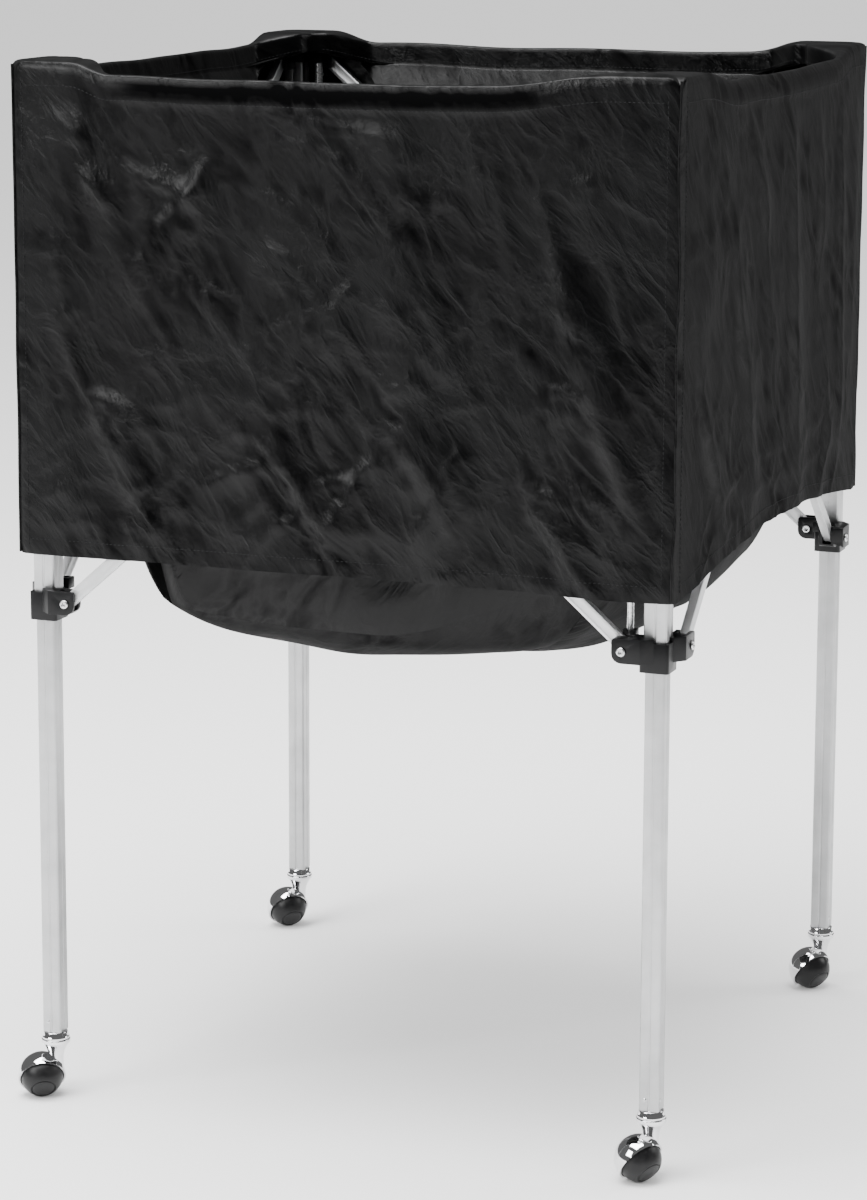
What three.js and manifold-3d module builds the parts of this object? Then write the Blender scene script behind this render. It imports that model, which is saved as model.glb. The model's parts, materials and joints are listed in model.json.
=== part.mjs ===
// Collapsible ball cart: four telescoping square legs on ball casters, joined by a crossed pair of
// arms on each side, with a cloth hopper hung over the tops of the legs. Lifting the rim draws the
// four legs together. Millimetres, +Z up, the floor at z = 0, the front looks along -Y.
import * as THREE from "three";
import { mergeVertices } from "three/addons/utils/BufferGeometryUtils.js";
import Module from "manifold-3d";

// Frame
const legSpacing = 594; // centre to centre, the same both ways
const lowPivotHeight = 485; // the arms' pivots on the collars
const highPivotHeight = 957; // the arms' pivots on the top brackets
const pivotReach = 27; // from a leg's centre line, along the side, to a pivot
const innerPlane = 5.5; // outward from the leg's centre line to the middle of the inner arm

// Legs
const lowerWidth = 18.4;
const lowerWall = 1.2;
const slideGap = 0.3; // between the two tubes, on each side
const upperWall = 1;
const lowerEnd = 168; // from the upper tube's top down to the lower one's, which it never leaves
const tubeAbove = 11; // from the upper pivots up to the end of the upper tube
const cornerFlat = 1.4; // bevel of a tube's edges
const grooveWidth = 2.2; // shallow drawn line down the middle of each face
const grooveDepth = 0.45;

// Arms
const armHeight = 12;
const armThickness = 8;
const armWall = 1.2;
const armPlay = 0.4; // between an arm and the cheeks beside it
const armSpace = 1; // between the two arms where they cross

// Clearances
const gap = 0.3; // between pieces that touch
const overrun = 5; // how far a cut runs past what it cuts
const weld = 0.0001; // points closer than this are one

// Collars and top brackets
const ringWall = 2.8;
const ringRound = 3;
const collarBelow = 19; // from the pivots down
const collarAbove = 7.5; // from the pivots up
const seatDepth = 8; // how deep the upper tube stands in the collar
const lugBelow = 10.5; // from the pivot down
const lugAbove = 11.5; // from the pivot up
const lugEnd = 9; // past the pivot
const lugCheek = 3.6; // outer cheek of a collar's fork for the outer arm
const lugRound = 8.5; // lower outer corner of a lug, seen from the side
const lugSmallRound = 2.5;
const lugStart = 10; // where the lug has reached its full thickness
const cheek = 4; // inner cheek of a fork
const slotEnd = 0.8; // room behind an arm's round end
const coreWall = 2.6; // walls left round the moulded pocket in a thick cheek
const coreDepth = 8;
const bracketBelow = 5; // from the pivots down
const capThickness = 14.4; // solid top of the bracket, which the cover rests on
const capDraw = 1.8; // how much the cap draws in at its top
const pinRadius = 2.8;
const pinHeadRadius = 4.6;
const pinHead = 0.8;

// Bolts of the collars and of the crossings
const boltRadius = 2.5;
const boltHeadRadius = 4.2;
const boltHead = 2;
const boltDome = 0.8;
const rivetRing = 1.2; // flared end of the bolt
const rivetRingRadius = 3.9;
const rivetBore = 1.7;
const rivetDepth = 5;
const crossHead = 0.8;
const washerRadius = 5.2;

// Telescoping struts beside the front right and rear left legs
const strutInset = 4; // inward from the leg's centre line
const rodRadius = 3.1;
const rodEnd = 77; // from the upper pivots down to the end of the rod
const strutWall = 0.9;
const strutStart = 115; // from the lower pivots up to the end of the strut's tube
const strutSeat = 8; // how deep its ends sit
const earSide = 1.4; // wall beside the strut
const earRise = 3.5; // above the collar's lug
const earWall = 1.6;

// Ball casters
const plugDepth = 26;
const crownTopRadius = 11.4;
const crownRadius = 13.2;
const crownStep = 1.6;
const crownHeight = 7.3; // below the leg
const ringRadius = 13.8;
const ringHeight = 4.3;
const ringRise = 32.3; // from the ball's middle up to the swivel ring
const ringEdge = 0.9;
const stemRadius = 4;
const stemBelow = 7.6; // below the swivel ring
const neckRadius = 12.3;
const trail = 14; // from the swivel's axis to the middle of the ball
const wheelRadius = 20.5;
const hoodGap = 0.7; // between ball and hood
const hoodWall = 1.5;
const hoodEdge = 1.6; // from the ball's middle to the hood's rim
const faceCrown = 1.5; // how far the middle of the wheel's face stands out
const axleRadius = 3;
const axleReach = 9; // past the ball's middle

// Cover and basket
const cloth = 2;
const skirtRise = 45; // from the lower pivots up to the skirt's edge
const cornerRise = 12; // how much higher the rim is over the top brackets
const hemRound = 4;
const hemInner = 25; // inward to the basket's wall at the rim, over the brackets
const rimDepth = 9; // across the rim between the legs
const wallPlay = 1; // between the arms and the basket's wall
const cornerSpan = 48; // the raised part, from the leg's centre line
const cornerFade = 80; // where the rim is down again
const basketDrop = 518; // from the rim down to the seam of the basket's floor
const basketInset = 77; // inward to the basket's wall at its bottom
const floorSag = 52; // from that seam down to the middle of the floor
const windowDrop = 7; // from the rim down to the open corner, where the frame shows
const windowTopWidth = 58;
const windowWidth = 110;
const windowSlant = 68; // from the window's top down to its widest place
const shoulderRise = 8; // from there up to the bend in the basket's wall
const windowHeight = 176;

// Turn of each caster about its stem, from +X, from the front left leg round by the front right
const casterTurns = [213, 240, 238, 225];

// Shapes of curves, as shares of the sizes they belong to
const floorCurveShares = [
  [0, 0], [0.035, 0.3], [0.13, 0.6], [0.32, 0.83], [0.6, 0.95], [1, 1],
];
const wheelRingDegrees = [92.5, 76, 60, 50, 38];
const contactRing = 2; // the band between this ring and the next one stands on the floor

// Roundness
const holeSides = 8;
const smallSides = 8;
const roundSides = 16;
const hoodSides = 14;
const hollowSides = 12;
const wheelSides = 24;
const capSides = 2;

const upperWidth = lowerWidth + 2 * (slideGap + upperWall);
const planePitch = armThickness + armSpace;
const outerPlane = innerPlane + planePitch;
const collarBottom = lowPivotHeight - collarBelow;
const collarTop = lowPivotHeight + collarAbove;
const seatHeight = collarTop - seatDepth;
const upperTop = highPivotHeight + tubeAbove;
const lowerTop = upperTop - lowerEnd;
const bracketBottom = highPivotHeight - bracketBelow;
const bracketTop = upperTop + gap + capThickness;
const lugReach = pivotReach + lugEnd;
const lugFace = outerPlane + armThickness / 2 + armPlay + lugCheek;
const bracketFace = outerPlane + armThickness / 2;
const ringHalf = upperWidth / 2 + gap + ringWall;
const holeRadius = pinRadius + gap;
const rise = highPivotHeight - lowPivotHeight;
const run = legSpacing - 2 * pivotReach;
const armLength = Math.hypot(run, rise);
const slope = Math.atan2(rise, run);
const strutRadius = rodRadius + gap + strutWall;
const earWidth = 2 * (strutRadius + gap + earSide);
const strutBottom = lowPivotHeight + strutStart;
const rodTop = highPivotHeight - rodEnd;
const coverFace = outerPlane + armThickness / 2 + armPlay + pinHead + gap + cloth;
const cornerRim = bracketTop + gap + cloth;
const rimTop = cornerRim - cornerRise;
const skirtBottom = lowPivotHeight + skirtRise;
const basketBottom = rimTop - basketDrop;
const floorHeight = basketBottom - floorSag;
const windowTop = rimTop - windowDrop;
const windowMiddle = windowTop - windowSlant;
const windowBottom = windowTop - windowHeight;
const shoulderHeight = windowMiddle + shoulderRise;
const shoulder = armThickness / 2 - innerPlane + gap + wallPlay + cloth;
const right = Math.PI / 2;

// The wheel's tilt is set so that one flat of its contact band lies on the floor.
const contactAngle = THREE.MathUtils.degToRad(
  (wheelRingDegrees[contactRing] + wheelRingDegrees[contactRing + 1]) / 2,
);
const contactStep = THREE.MathUtils.degToRad(
  wheelRingDegrees[contactRing] - wheelRingDegrees[contactRing + 1],
);
const flatCos = Math.cos(Math.PI / wheelSides);
const flatAngle = Math.atan2(Math.sin(contactAngle), Math.cos(contactAngle) * flatCos);
const wheelTilt = right - flatAngle; // of the axle, below level
const ballHeight =
  (wheelRadius * Math.cos(contactStep / 2) * flatCos) /
  Math.hypot(Math.sin(contactAngle), Math.cos(contactAngle) * flatCos);
const ringBottom = ballHeight + ringRise;
const crownBottom = ringBottom + ringHeight + gap;
const legBottom = crownBottom + crownHeight;
const stemBottom = ringBottom - stemBelow;

const aluminium = { color: 0xc9cbcd, roughness: 0.38, metalness: 0.9 };
const steel = { color: 0xb4b6b8, roughness: 0.3, metalness: 0.95 };
const chrome = { color: 0xd9dadb, roughness: 0.12, metalness: 1 };
const moulding = { color: 0x141416, roughness: 0.42, metalness: 0 };
const tread = { color: 0x1b1b1d, roughness: 0.35, metalness: 0 };
const nylon = { color: 0x1a1b1e, roughness: 0.62, metalness: 0 };

const wasm = await Module();
wasm.setup();

// A closed solid from a geometry.
function solid(geometry) {
  const bare = geometry.clone();
  bare.deleteAttribute("normal");
  bare.deleteAttribute("uv");
  const welded = mergeVertices(bare, weld);
  return new wasm.Manifold(
    new wasm.Mesh({
      numProp: 3,
      vertProperties: welded.attributes.position.array,
      triVerts: new Uint32Array(welded.index.array),
    }),
  );
}

function fuse(...solids) {
  return solids.reduce((all, one) => all.add(one));
}

function carve(body, ...cuts) {
  return cuts.reduce((left, cut) => left.subtract(cut), body);
}

// A named mesh, with its faces flat where they meet at an edge.
function piece(name, made, look) {
  const mesh = made.getMesh();
  const geometry = new THREE.BufferGeometry();
  geometry.setAttribute(
    "position",
    new THREE.BufferAttribute(mesh.vertProperties, 3),
  );
  geometry.setIndex(new THREE.BufferAttribute(mesh.triVerts, 1));
  const flat = geometry.toNonIndexed();
  flat.computeVertexNormals();
  const result = new THREE.Mesh(flat, new THREE.MeshStandardMaterial(look));
  result.name = name;
  return result;
}

function box([x0, x1], [y0, y1], [z0, z1]) {
  return solid(
    new THREE.BoxGeometry(x1 - x0, y1 - y0, z1 - z0).translate(
      (x0 + x1) / 2,
      (y0 + y1) / 2,
      (z0 + z1) / 2,
    ),
  );
}

// An upright round bar.
function post(radius, z0, z1, x = 0, y = 0, sides = roundSides, topRadius = radius) {
  return solid(
    new THREE.CylinderGeometry(topRadius, radius, z1 - z0, sides)
      .rotateX(right)
      .translate(x, y, (z0 + z1) / 2),
  );
}

// A round bar along Y.
function pin(radius, y0, y1, x, z, sides = holeSides) {
  return solid(
    new THREE.CylinderGeometry(radius, radius, y1 - y0, sides).translate(
      x,
      (y0 + y1) / 2,
      z,
    ),
  );
}

// An outline seen from above, raised from z0 to z1.
function raised(outline, z0, z1) {
  const depth = z1 - z0;
  return solid(
    new THREE.ExtrudeGeometry(outline, { depth, bevelEnabled: false, curveSegments: capSides })
      .translate(0, 0, z0),
  );
}

// An outline seen from the front, in X and Z, running from y0 to y1.
function across(outline, y0, y1) {
  const depth = y1 - y0;
  return solid(
    new THREE.ExtrudeGeometry(outline, { depth, bevelEnabled: false, curveSegments: capSides })
      .rotateX(right)
      .translate(0, y1, 0),
  );
}

function outlineOf(points) {
  return new THREE.Shape(points.map(([x, y]) => new THREE.Vector2(x, y)));
}

function ordered(a, b) {
  return a < b ? [a, b] : [b, a];
}

// A square section with bevelled edges and, on request, a drawn line down each face.
function tubeOutline(width, grooved) {
  const h = width / 2;
  const g = grooveWidth / 2;
  const face = [[-h + cornerFlat, -h]];
  if (grooved) {
    face.push([-g, -h], [-g + grooveDepth, -h + grooveDepth]);
    face.push([g - grooveDepth, -h + grooveDepth], [g, -h]);
  }
  face.push([h - cornerFlat, -h]);
  const points = [];
  for (let turn = 0; turn < 4; turn++) {
    const [c, s] = [[1, 0], [0, 1], [-1, 0], [0, -1]][turn];
    for (const [x, y] of face) points.push([c * x - s * y, s * x + c * y]);
  }
  return points;
}

function squareTube(width, wall, z0, z1) {
  const outline = outlineOf(tubeOutline(width, true));
  const bore = width - 2 * wall;
  outline.holes.push(new THREE.Path(
    tubeOutline(bore, false).map(([x, y]) => new THREE.Vector2(x, y)),
  ));
  return raised(outline, z0, z1);
}

function roundedSquare(half, radius) {
  const s = new THREE.Shape();
  s.moveTo(-half + radius, -half);
  s.lineTo(half - radius, -half);
  s.absarc(half - radius, -half + radius, radius, -right, 0);
  s.absarc(half - radius, half - radius, radius, 0, right);
  s.absarc(-half + radius, half - radius, radius, right, 2 * right);
  s.absarc(-half + radius, -half + radius, radius, 2 * right, 3 * right);
  return s;
}

// The side view of a lug: flat above, well rounded below its outer end. facing is 1 for a collar
// and -1 for a top bracket, whose lug hangs the other way up.
function lugSide(pivot, facing) {
  const low = -lugBelow;
  const high = lugAbove;
  const s = new THREE.Shape();
  s.moveTo(0, low);
  s.lineTo(lugReach - lugRound, low);
  s.absarc(lugReach - lugRound, low + lugRound, lugRound, -right, 0);
  s.lineTo(lugReach, high - lugSmallRound);
  s.absarc(lugReach - lugSmallRound, high - lugSmallRound, lugSmallRound, 0, right);
  s.lineTo(0, high);
  s.closePath();
  const points = s.extractPoints(capSides).shape.map((p) => [p.x, pivot + facing * p.y]);
  return outlineOf(facing > 0 ? points : points.reverse());
}

// One fork of a collar or bracket. It runs along +X. outward is -1 or 1, the side of the X axis
// that the cart's outside is on, and face is how far out its outer face lies.
function fork(outward, pivot, facing, arm, face) {
  const inner = arm - armThickness / 2 - armPlay;
  const outer = arm + armThickness / 2 + armPlay;
  const back = inner - cheek;
  const plan = outlineOf([
    [0, outward * back],
    [0, outward * Math.min(ringHalf, face)],
    [lugStart, outward * face],
    [lugReach, outward * face],
    [lugReach, outward * back],
  ]);
  const block = raised(plan, pivot - lugReach, pivot + lugReach);
  const side = across(lugSide(pivot, facing), ...ordered(outward * back, outward * face));
  const slotFloor = pivot - facing * (armHeight / 2 + slotEnd);
  const slot = box(
    [pivotReach - armHeight / 2 - slotEnd, lugReach + overrun],
    ordered(outward * inner, outward * outer),
    ordered(slotFloor, pivot + facing * (lugAbove + overrun)),
  );
  return carve(block.intersect(side), slot);
}

// Turns a solid built along +X, with its outside on +Y, to run along +Y with its outside on -X.
function toOtherSide(made) {
  return made.rotate([0, 0, 90]);
}

function collar() {
  const ring = raised(roundedSquare(ringHalf, ringRound), collarBottom, collarTop);
  const first = fork(-1, lowPivotHeight, 1, outerPlane, lugFace);
  const second = fork(1, lowPivotHeight, 1, innerPlane, lugFace);
  const hole = boltRadius + gap;
  const firstHole = pin(hole, -lugFace - overrun, overrun, pivotReach, lowPivotHeight);
  const secondHole = pin(hole, -overrun, lugFace + overrun, pivotReach, lowPivotHeight);
  const thick = innerPlane + armThickness / 2 + armPlay;
  const core = box(
    [pivotReach - boltHeadRadius - coreWall, lugReach + overrun],
    [thick + coreWall, lugFace - coreWall],
    [lowPivotHeight - lugBelow - overrun, lowPivotHeight - lugBelow + coreDepth - coreWall],
  );
  const inner = innerPlane - armThickness / 2 - armPlay - cheek;
  const earTop = lowPivotHeight + lugAbove + earRise;
  const ear = box(
    [pivotReach - earWidth / 2, pivotReach + earWidth / 2],
    [-strutInset - strutRadius - earWall, inner + cheek / 2],
    [lowPivotHeight + rivetRingRadius + slotEnd, earTop],
  );
  const seat = post(
    rodRadius + gap, earTop - strutSeat, earTop + overrun, pivotReach, -strutInset, smallSides,
  );
  const wing = carve(fuse(carve(second, core), ear), secondHole, seat);
  const bore = lowerWidth / 2 + gap;
  const socket = upperWidth / 2 + gap;
  return carve(
    fuse(ring, carve(first, firstHole), toOtherSide(wing)),
    box([-bore, bore], [-bore, bore], [collarBottom - overrun, seatHeight + overrun]),
    box([-socket, socket], [-socket, socket], [seatHeight, collarTop + overrun]),
  );
}

function topBracket() {
  const socket = upperWidth / 2 + gap;
  const body = raised(roundedSquare(ringHalf, ringRound), bracketBottom, upperTop + gap);
  const cap = solid(
    new THREE.CylinderGeometry(
      (ringHalf - capDraw) * Math.SQRT2, ringHalf * Math.SQRT2, capThickness, 4, 1,
    )
      .rotateY(right / 2)
      .rotateX(right)
      .translate(0, 0, bracketTop - capThickness / 2),
  ).intersect(
    raised(roundedSquare(ringHalf, ringRound), upperTop, bracketTop + overrun),
  );
  const first = fork(-1, highPivotHeight, -1, innerPlane, bracketFace);
  const second = fork(1, highPivotHeight, -1, outerPlane, outerPlane);
  const thin = outerPlane + armThickness / 2 + armPlay;
  const firstPin = pin(
    pinRadius, -bracketFace + cheek / 2, -innerPlane + armThickness / 2 + cheek / 2,
    pivotReach, highPivotHeight,
  );
  const secondPin = pin(
    pinRadius, outerPlane - armThickness / 2 - cheek, thin, pivotReach, highPivotHeight,
  );
  const secondHead = pin(
    pinHeadRadius, thin, thin + pinHead, pivotReach, highPivotHeight, smallSides,
  );
  const inner = outerPlane - armThickness / 2 - armPlay - cheek;
  const earTop = highPivotHeight + lugBelow;
  const ear = box(
    [pivotReach - earWidth / 2, pivotReach + earWidth / 2],
    [-strutInset - strutRadius - earWall, inner + cheek / 2],
    [earTop - 2 * strutSeat, earTop],
  );
  const seat = post(
    strutRadius + gap, earTop - 2 * strutSeat - overrun, earTop - strutSeat,
    pivotReach, -strutInset, smallSides,
  );
  const wing = fuse(carve(fuse(second, ear), seat), secondPin, secondHead);
  return carve(
    fuse(body, cap, first, firstPin, toOtherSide(wing)),
    box([-socket, socket], [-socket, socket], [bracketBottom - lugReach, upperTop + gap]),
  );
}

// A flat tube with round ends and three holes, lying along +X from its lower pivot.
function arm() {
  const r = armHeight / 2;
  const s = new THREE.Shape();
  s.moveTo(0, -r);
  s.lineTo(armLength, -r);
  s.absarc(armLength, 0, r, -right, right);
  s.lineTo(0, r);
  s.absarc(0, 0, r, right, 3 * right);
  const half = armThickness / 2;
  const holes = [0, armLength / 2, armLength].map((x) =>
    pin(holeRadius, -half - overrun, half + overrun, x, 0),
  );
  const bore = box(
    [-r - overrun, armLength + r + overrun],
    [-half + armWall, half - armWall],
    [-r + armWall, r - armWall],
  );
  return carve(across(s, -half, half), bore, ...holes);
}

function turned(profile, sides) {
  const points = profile.map(([r, h]) => new THREE.Vector2(r, h));
  return solid(new THREE.LatheGeometry(points, sides));
}

// A tubular bolt along Y, its domed head at the lower y, with its end flared into a ring.
function bolt(headRadius, headFace, headHeight, dome, ringFace, ringHeight, washer) {
  const ring = ringFace + ringHeight;
  const shank = washer
    ? [[boltRadius, washer[0]], [washerRadius, washer[0]], [washerRadius, washer[1]],
      [boltRadius, washer[1]]]
    : [];
  return turned([
    [0, headFace - headHeight],
    [headRadius - dome, headFace - headHeight],
    [headRadius, headFace - headHeight + dome],
    [headRadius, headFace],
    [boltRadius, headFace],
    ...shank,
    [boltRadius, ringFace],
    [rivetRingRadius, ringFace],
    [rivetRingRadius, ring],
    [rivetBore, ring],
    [rivetBore, ring - rivetDepth],
    [0, ring - rivetDepth],
  ], smallSides);
}

function collarBolt(plane) {
  const inner = plane - armThickness / 2 - armPlay - cheek;
  return bolt(boltHeadRadius, -lugFace - gap, boltHead, boltDome, -inner + gap, rivetRing);
}

function crossBolt() {
  const faces = [outerPlane + armThickness / 2, innerPlane - armThickness / 2];
  const between = (outerPlane + innerPlane) / 2;
  const half = (planePitch - armThickness) / 2 - gap;
  return bolt(
    boltHeadRadius, -faces[0] - gap, crossHead, crossHead / 2, -faces[1] + gap, rivetRing,
    [-between - half, -between + half],
  );
}

function casterStem() {
  const half = lowerWidth / 2 - lowerWall - gap;
  const plug = raised(roundedSquare(half, cornerFlat), legBottom, legBottom + plugDepth);
  const crown = turned([
    [0, stemBottom],
    [stemRadius, stemBottom],
    [stemRadius, crownBottom],
    [crownRadius, crownBottom],
    [crownRadius, crownBottom + crownStep],
    [crownTopRadius, legBottom - gap],
    [half, legBottom - gap],
    [half, legBottom + overrun],
    [0, legBottom + overrun],
  ], hollowSides).rotate([90, 0, 0]);
  return fuse(plug, crown.intersect(post(crownRadius + overrun, stemBottom, legBottom + gap)));
}

// Solids of the caster's ball are built round +Y, the axle's own direction, and turned afterwards.
function wheel() {
  const bore = axleRadius + gap;
  const rings = wheelRingDegrees.map((degrees) => {
    const a = THREE.MathUtils.degToRad(degrees);
    return [wheelRadius * Math.sin(a), wheelRadius * Math.cos(a)];
  });
  return turned([
    [0, axleReach + gap],
    [bore, axleReach + gap],
    [bore, rings[0][1]],
    ...rings,
    [0, rings[rings.length - 1][1] + faceCrown],
  ], wheelSides).rotate([0, 180 / wheelSides, 0]);
}

function ballPart(made) {
  const turn = new THREE.Matrix4()
    .makeTranslation(trail, 0, ballHeight)
    .multiply(new THREE.Matrix4().makeRotationX(-wheelTilt));
  return made.transform(turn.elements);
}

// The hood covers the back of the ball and carries the swivel housing and the axle.
function hood() {
  const inside = wheelRadius + hoodGap;
  const outside = inside + hoodWall;
  const [shell, hollow] = [[outside, hoodSides], [inside, hollowSides]].map(([r, n]) =>
    ballPart(solid(new THREE.SphereGeometry(r, n, n / 2))),
  );
  const housing = post(neckRadius, ballHeight, ringBottom, 0, 0);
  const ring = turned([
    [0, ringBottom],
    [ringRadius - ringEdge, ringBottom],
    [ringRadius, ringBottom + ringEdge],
    [ringRadius, crownBottom - gap - ringEdge],
    [ringRadius - ringEdge, crownBottom - gap],
    [0, crownBottom - gap],
  ], roundSides).rotate([90, 0, 0]);
  const behind = ballPart(box(
    [-wheelRadius * 2, wheelRadius * 2], [-wheelRadius * 3, -hoodEdge],
    [-wheelRadius * 2, wheelRadius * 3],
  ));
  const axle = ballPart(solid(
    new THREE.CylinderGeometry(axleRadius, axleRadius, axleReach + inside + hoodWall / 2, smallSides)
      .translate(0, (axleReach - inside - hoodWall / 2) / 2, 0),
  ));
  const hub = ballPart(solid(
    new THREE.CylinderGeometry(axleRadius * 2, axleRadius * 2, inside, smallSides)
      .translate(0, -inside / 2 - hoodEdge, 0),
  ));
  const cup = carve(fuse(shell, housing), hollow).intersect(behind);
  return carve(
    fuse(cup, ring, hub.intersect(shell), axle),
    post(stemRadius + gap, stemBottom - gap, crownBottom + overrun),
  );
}

// Joins equal rings of points, each lying square to X, into one closed solid.
function loft(given) {
  const flat = (ring) => ring.map((p) => new THREE.Vector2(p.y, p.z));
  const turn = THREE.ShapeUtils.isClockWise(flat(given[0]));
  const rings = given.map((ring) => (turn ? [...ring].reverse() : ring));
  const n = rings[0].length;
  const positions = rings.flat().flatMap((p) => [p.x, p.y, p.z]);
  const index = [];
  for (let k = 0; k + 1 < rings.length; k++) {
    for (let i = 0; i < n; i++) {
      const [a, b] = [k * n + i, k * n + ((i + 1) % n)];
      index.push(a, b, a + n, b, b + n, a + n);
    }
  }
  const end = (rings.length - 1) * n;
  for (const [a, b, c] of THREE.ShapeUtils.triangulateShape(flat(rings[0]), [])) {
    index.push(a, c, b, end + a, end + b, end + c);
  }
  const geometry = new THREE.BufferGeometry();
  geometry.setAttribute("position", new THREE.Float32BufferAttribute(positions, 3));
  geometry.setIndex(index);
  return solid(geometry);
}

// The wedge between the cart's two diagonals, which one side of the bag fills.
function wedge() {
  const m = coverFace + overrun;
  const half = (gap / 2) * Math.SQRT2;
  return raised(outlineOf([
    [-m + half, -m],
    [legSpacing + m - half, -m],
    [legSpacing / 2, legSpacing / 2 - half],
  ]), floorHeight - overrun, cornerRim + overrun);
}

// One side of the bag, an upturned trough of cloth: the cover's skirt outside the frame, the hem
// over it, and the wall of the basket inside it.
function bagSide() {
  const section = (x, top, inner, wall) => [
    [-coverFace, skirtBottom],
    [-coverFace, top - hemRound],
    [-coverFace + hemRound, top],
    [inner - hemRound, top],
    [inner, top - hemRound],
    [wall, shoulderHeight],
    [basketInset, basketBottom],
    [basketInset - cloth, basketBottom],
    [wall - cloth, shoulderHeight],
    [inner - cloth, top - hemRound],
    [inner - hemRound, top - cloth],
    [-coverFace + hemRound, top - cloth],
    [-coverFace + cloth, top - hemRound],
    [-coverFace + cloth, skirtBottom],
  ].map(([y, z]) => new THREE.Vector3(x, y, z));
  const fall = (cornerRim - hemRound - shoulderHeight) / (cornerRim - hemRound - basketBottom);
  const overLeg = [cornerRim, hemInner, hemInner + (basketInset - hemInner) * fall];
  const between = [rimTop, rimDepth - coverFace, shoulder];
  const trough = loft([
    section(-coverFace, ...overLeg),
    section(cornerSpan, ...overLeg),
    section(cornerFade, ...between),
    section(legSpacing - cornerFade, ...between),
    section(legSpacing - cornerSpan, ...overLeg),
    section(legSpacing + coverFace, ...overLeg),
  ]);
  const opening = [
    [-coverFace, windowBottom], [hemInner, windowBottom], [windowWidth, windowMiddle],
    [windowTopWidth, windowTop], [-coverFace, windowTop],
  ];
  const reach = [-coverFace + 2 * cloth, basketInset];
  return carve(
    trough.intersect(wedge()),
    across(outlineOf(opening), ...reach),
    across(outlineOf(opening.map(([x, z]) => [legSpacing - x, z]).reverse()), ...reach),
  );
}

// One quarter of the basket's floor, sewn to the bottom of a side's wall.
function floorQuarter() {
  const [y0, z0] = [basketInset - cloth, basketBottom - gap];
  const under = floorCurveShares.map(([a, b]) => [
    y0 + a * (legSpacing / 2 - y0),
    z0 - b * (z0 - floorHeight),
  ]);
  const over = under.map(([y, z], i) => {
    const [p, q] = [under[Math.max(i - 1, 0)], under[Math.min(i + 1, under.length - 1)]];
    const [dy, dz] = [q[0] - p[0], q[1] - p[1]];
    const l = Math.hypot(dy, dz);
    return i === 0 ? [y + cloth, z] : [y - (dz / l) * cloth, z + (dy / l) * cloth];
  });
  const outline = [...under, ...over.reverse()];
  const ring = (x) => outline.map(([y, z]) => new THREE.Vector3(x, y, z));
  return loft([ring(0), ring(legSpacing)]).intersect(wedge());
}

const cart = new THREE.Group();
const corners = ["fl", "fr", "rr", "rl"];
const sides = ["front", "right", "back", "left"];
const hasStrut = ["fr", "rl"];

const shared = {
  lower: squareTube(lowerWidth, lowerWall, legBottom, lowerTop),
  upper: squareTube(upperWidth, upperWall, seatHeight + gap, upperTop),
  collar: collar(),
  bracket: topBracket(),
  arm: arm(),
  outerBolt: collarBolt(outerPlane),
  innerBolt: collarBolt(innerPlane),
  crossBolt: crossBolt(),
  stem: casterStem(),
  hood: hood(),
  wheel: ballPart(wheel()),
  bagSide: bagSide(),
  floor: floorQuarter(),
  rod: post(
    rodRadius, lowPivotHeight + lugAbove + earRise - strutSeat + gap, rodTop,
    strutInset, pivotReach, smallSides,
  ),
  strut: carve(
    post(
      strutRadius, strutBottom, highPivotHeight + lugBelow - strutSeat - gap,
      strutInset, pivotReach, smallSides,
    ),
    post(
      rodRadius + gap, strutBottom - overrun, highPivotHeight, strutInset, pivotReach, smallSides,
    ),
  ),
};

corners.forEach((name, i) => {
  const corner = new THREE.Group();
  const half = legSpacing / 2;
  corner.position.set(i === 0 || i === 3 ? -half : half, i < 2 ? -half : half, 0);
  corner.rotation.z = i * right;
  cart.add(corner);
  corner.add(
    piece("lower_tube_" + name, shared.lower, aluminium),
    piece("upper_tube_" + name, shared.upper, aluminium),
    piece("collar_" + name, shared.collar, moulding),
    piece("top_bracket_" + name, shared.bracket, moulding),
    piece("caster_stem_" + name, shared.stem, chrome),
  );
  const firstBolt = piece("collar_bolt_a_" + name, shared.outerBolt, steel);
  firstBolt.position.set(pivotReach, 0, lowPivotHeight);
  const secondBolt = piece("collar_bolt_b_" + name, shared.innerBolt, steel);
  secondBolt.position.set(0, pivotReach, lowPivotHeight);
  secondBolt.rotation.z = -right;
  corner.add(firstBolt, secondBolt);
  if (hasStrut.includes(name)) {
    corner.add(
      piece("strut_rod_" + name, shared.rod, steel),
      piece("strut_tube_" + name, shared.strut, steel),
    );
  }

  const caster = new THREE.Group();
  caster.rotation.z = THREE.MathUtils.degToRad(casterTurns[i]) - i * right;
  caster.add(
    piece("caster_hood_" + name, shared.hood, chrome),
    piece("caster_wheel_" + name, shared.wheel, tread),
  );
  corner.add(caster);

  const side = sides[i];
  const outer = piece("arm_outer_" + side, shared.arm, aluminium);
  outer.position.set(pivotReach, -outerPlane, lowPivotHeight);
  outer.rotation.y = -slope;
  const inner = piece("arm_inner_" + side, shared.arm, aluminium);
  inner.position.set(legSpacing - pivotReach, -innerPlane, lowPivotHeight);
  inner.rotation.y = slope - Math.PI;
  const middle = piece("cross_bolt_" + side, shared.crossBolt, steel);
  middle.position.set(legSpacing / 2, 0, (lowPivotHeight + highPivotHeight) / 2);
  corner.add(
    outer, inner, middle,
    piece("bag_" + side, shared.bagSide, nylon),
    piece("bag_floor_" + side, shared.floor, nylon),
  );
});

// The origin is under the middle of everything, casters included.
const bounds = new THREE.Box3().setFromObject(cart, true);
cart.position.set(-(bounds.min.x + bounds.max.x) / 2, -(bounds.min.y + bounds.max.y) / 2, 0);
const model = new THREE.Group();
model.add(cart);

export default model;
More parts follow.
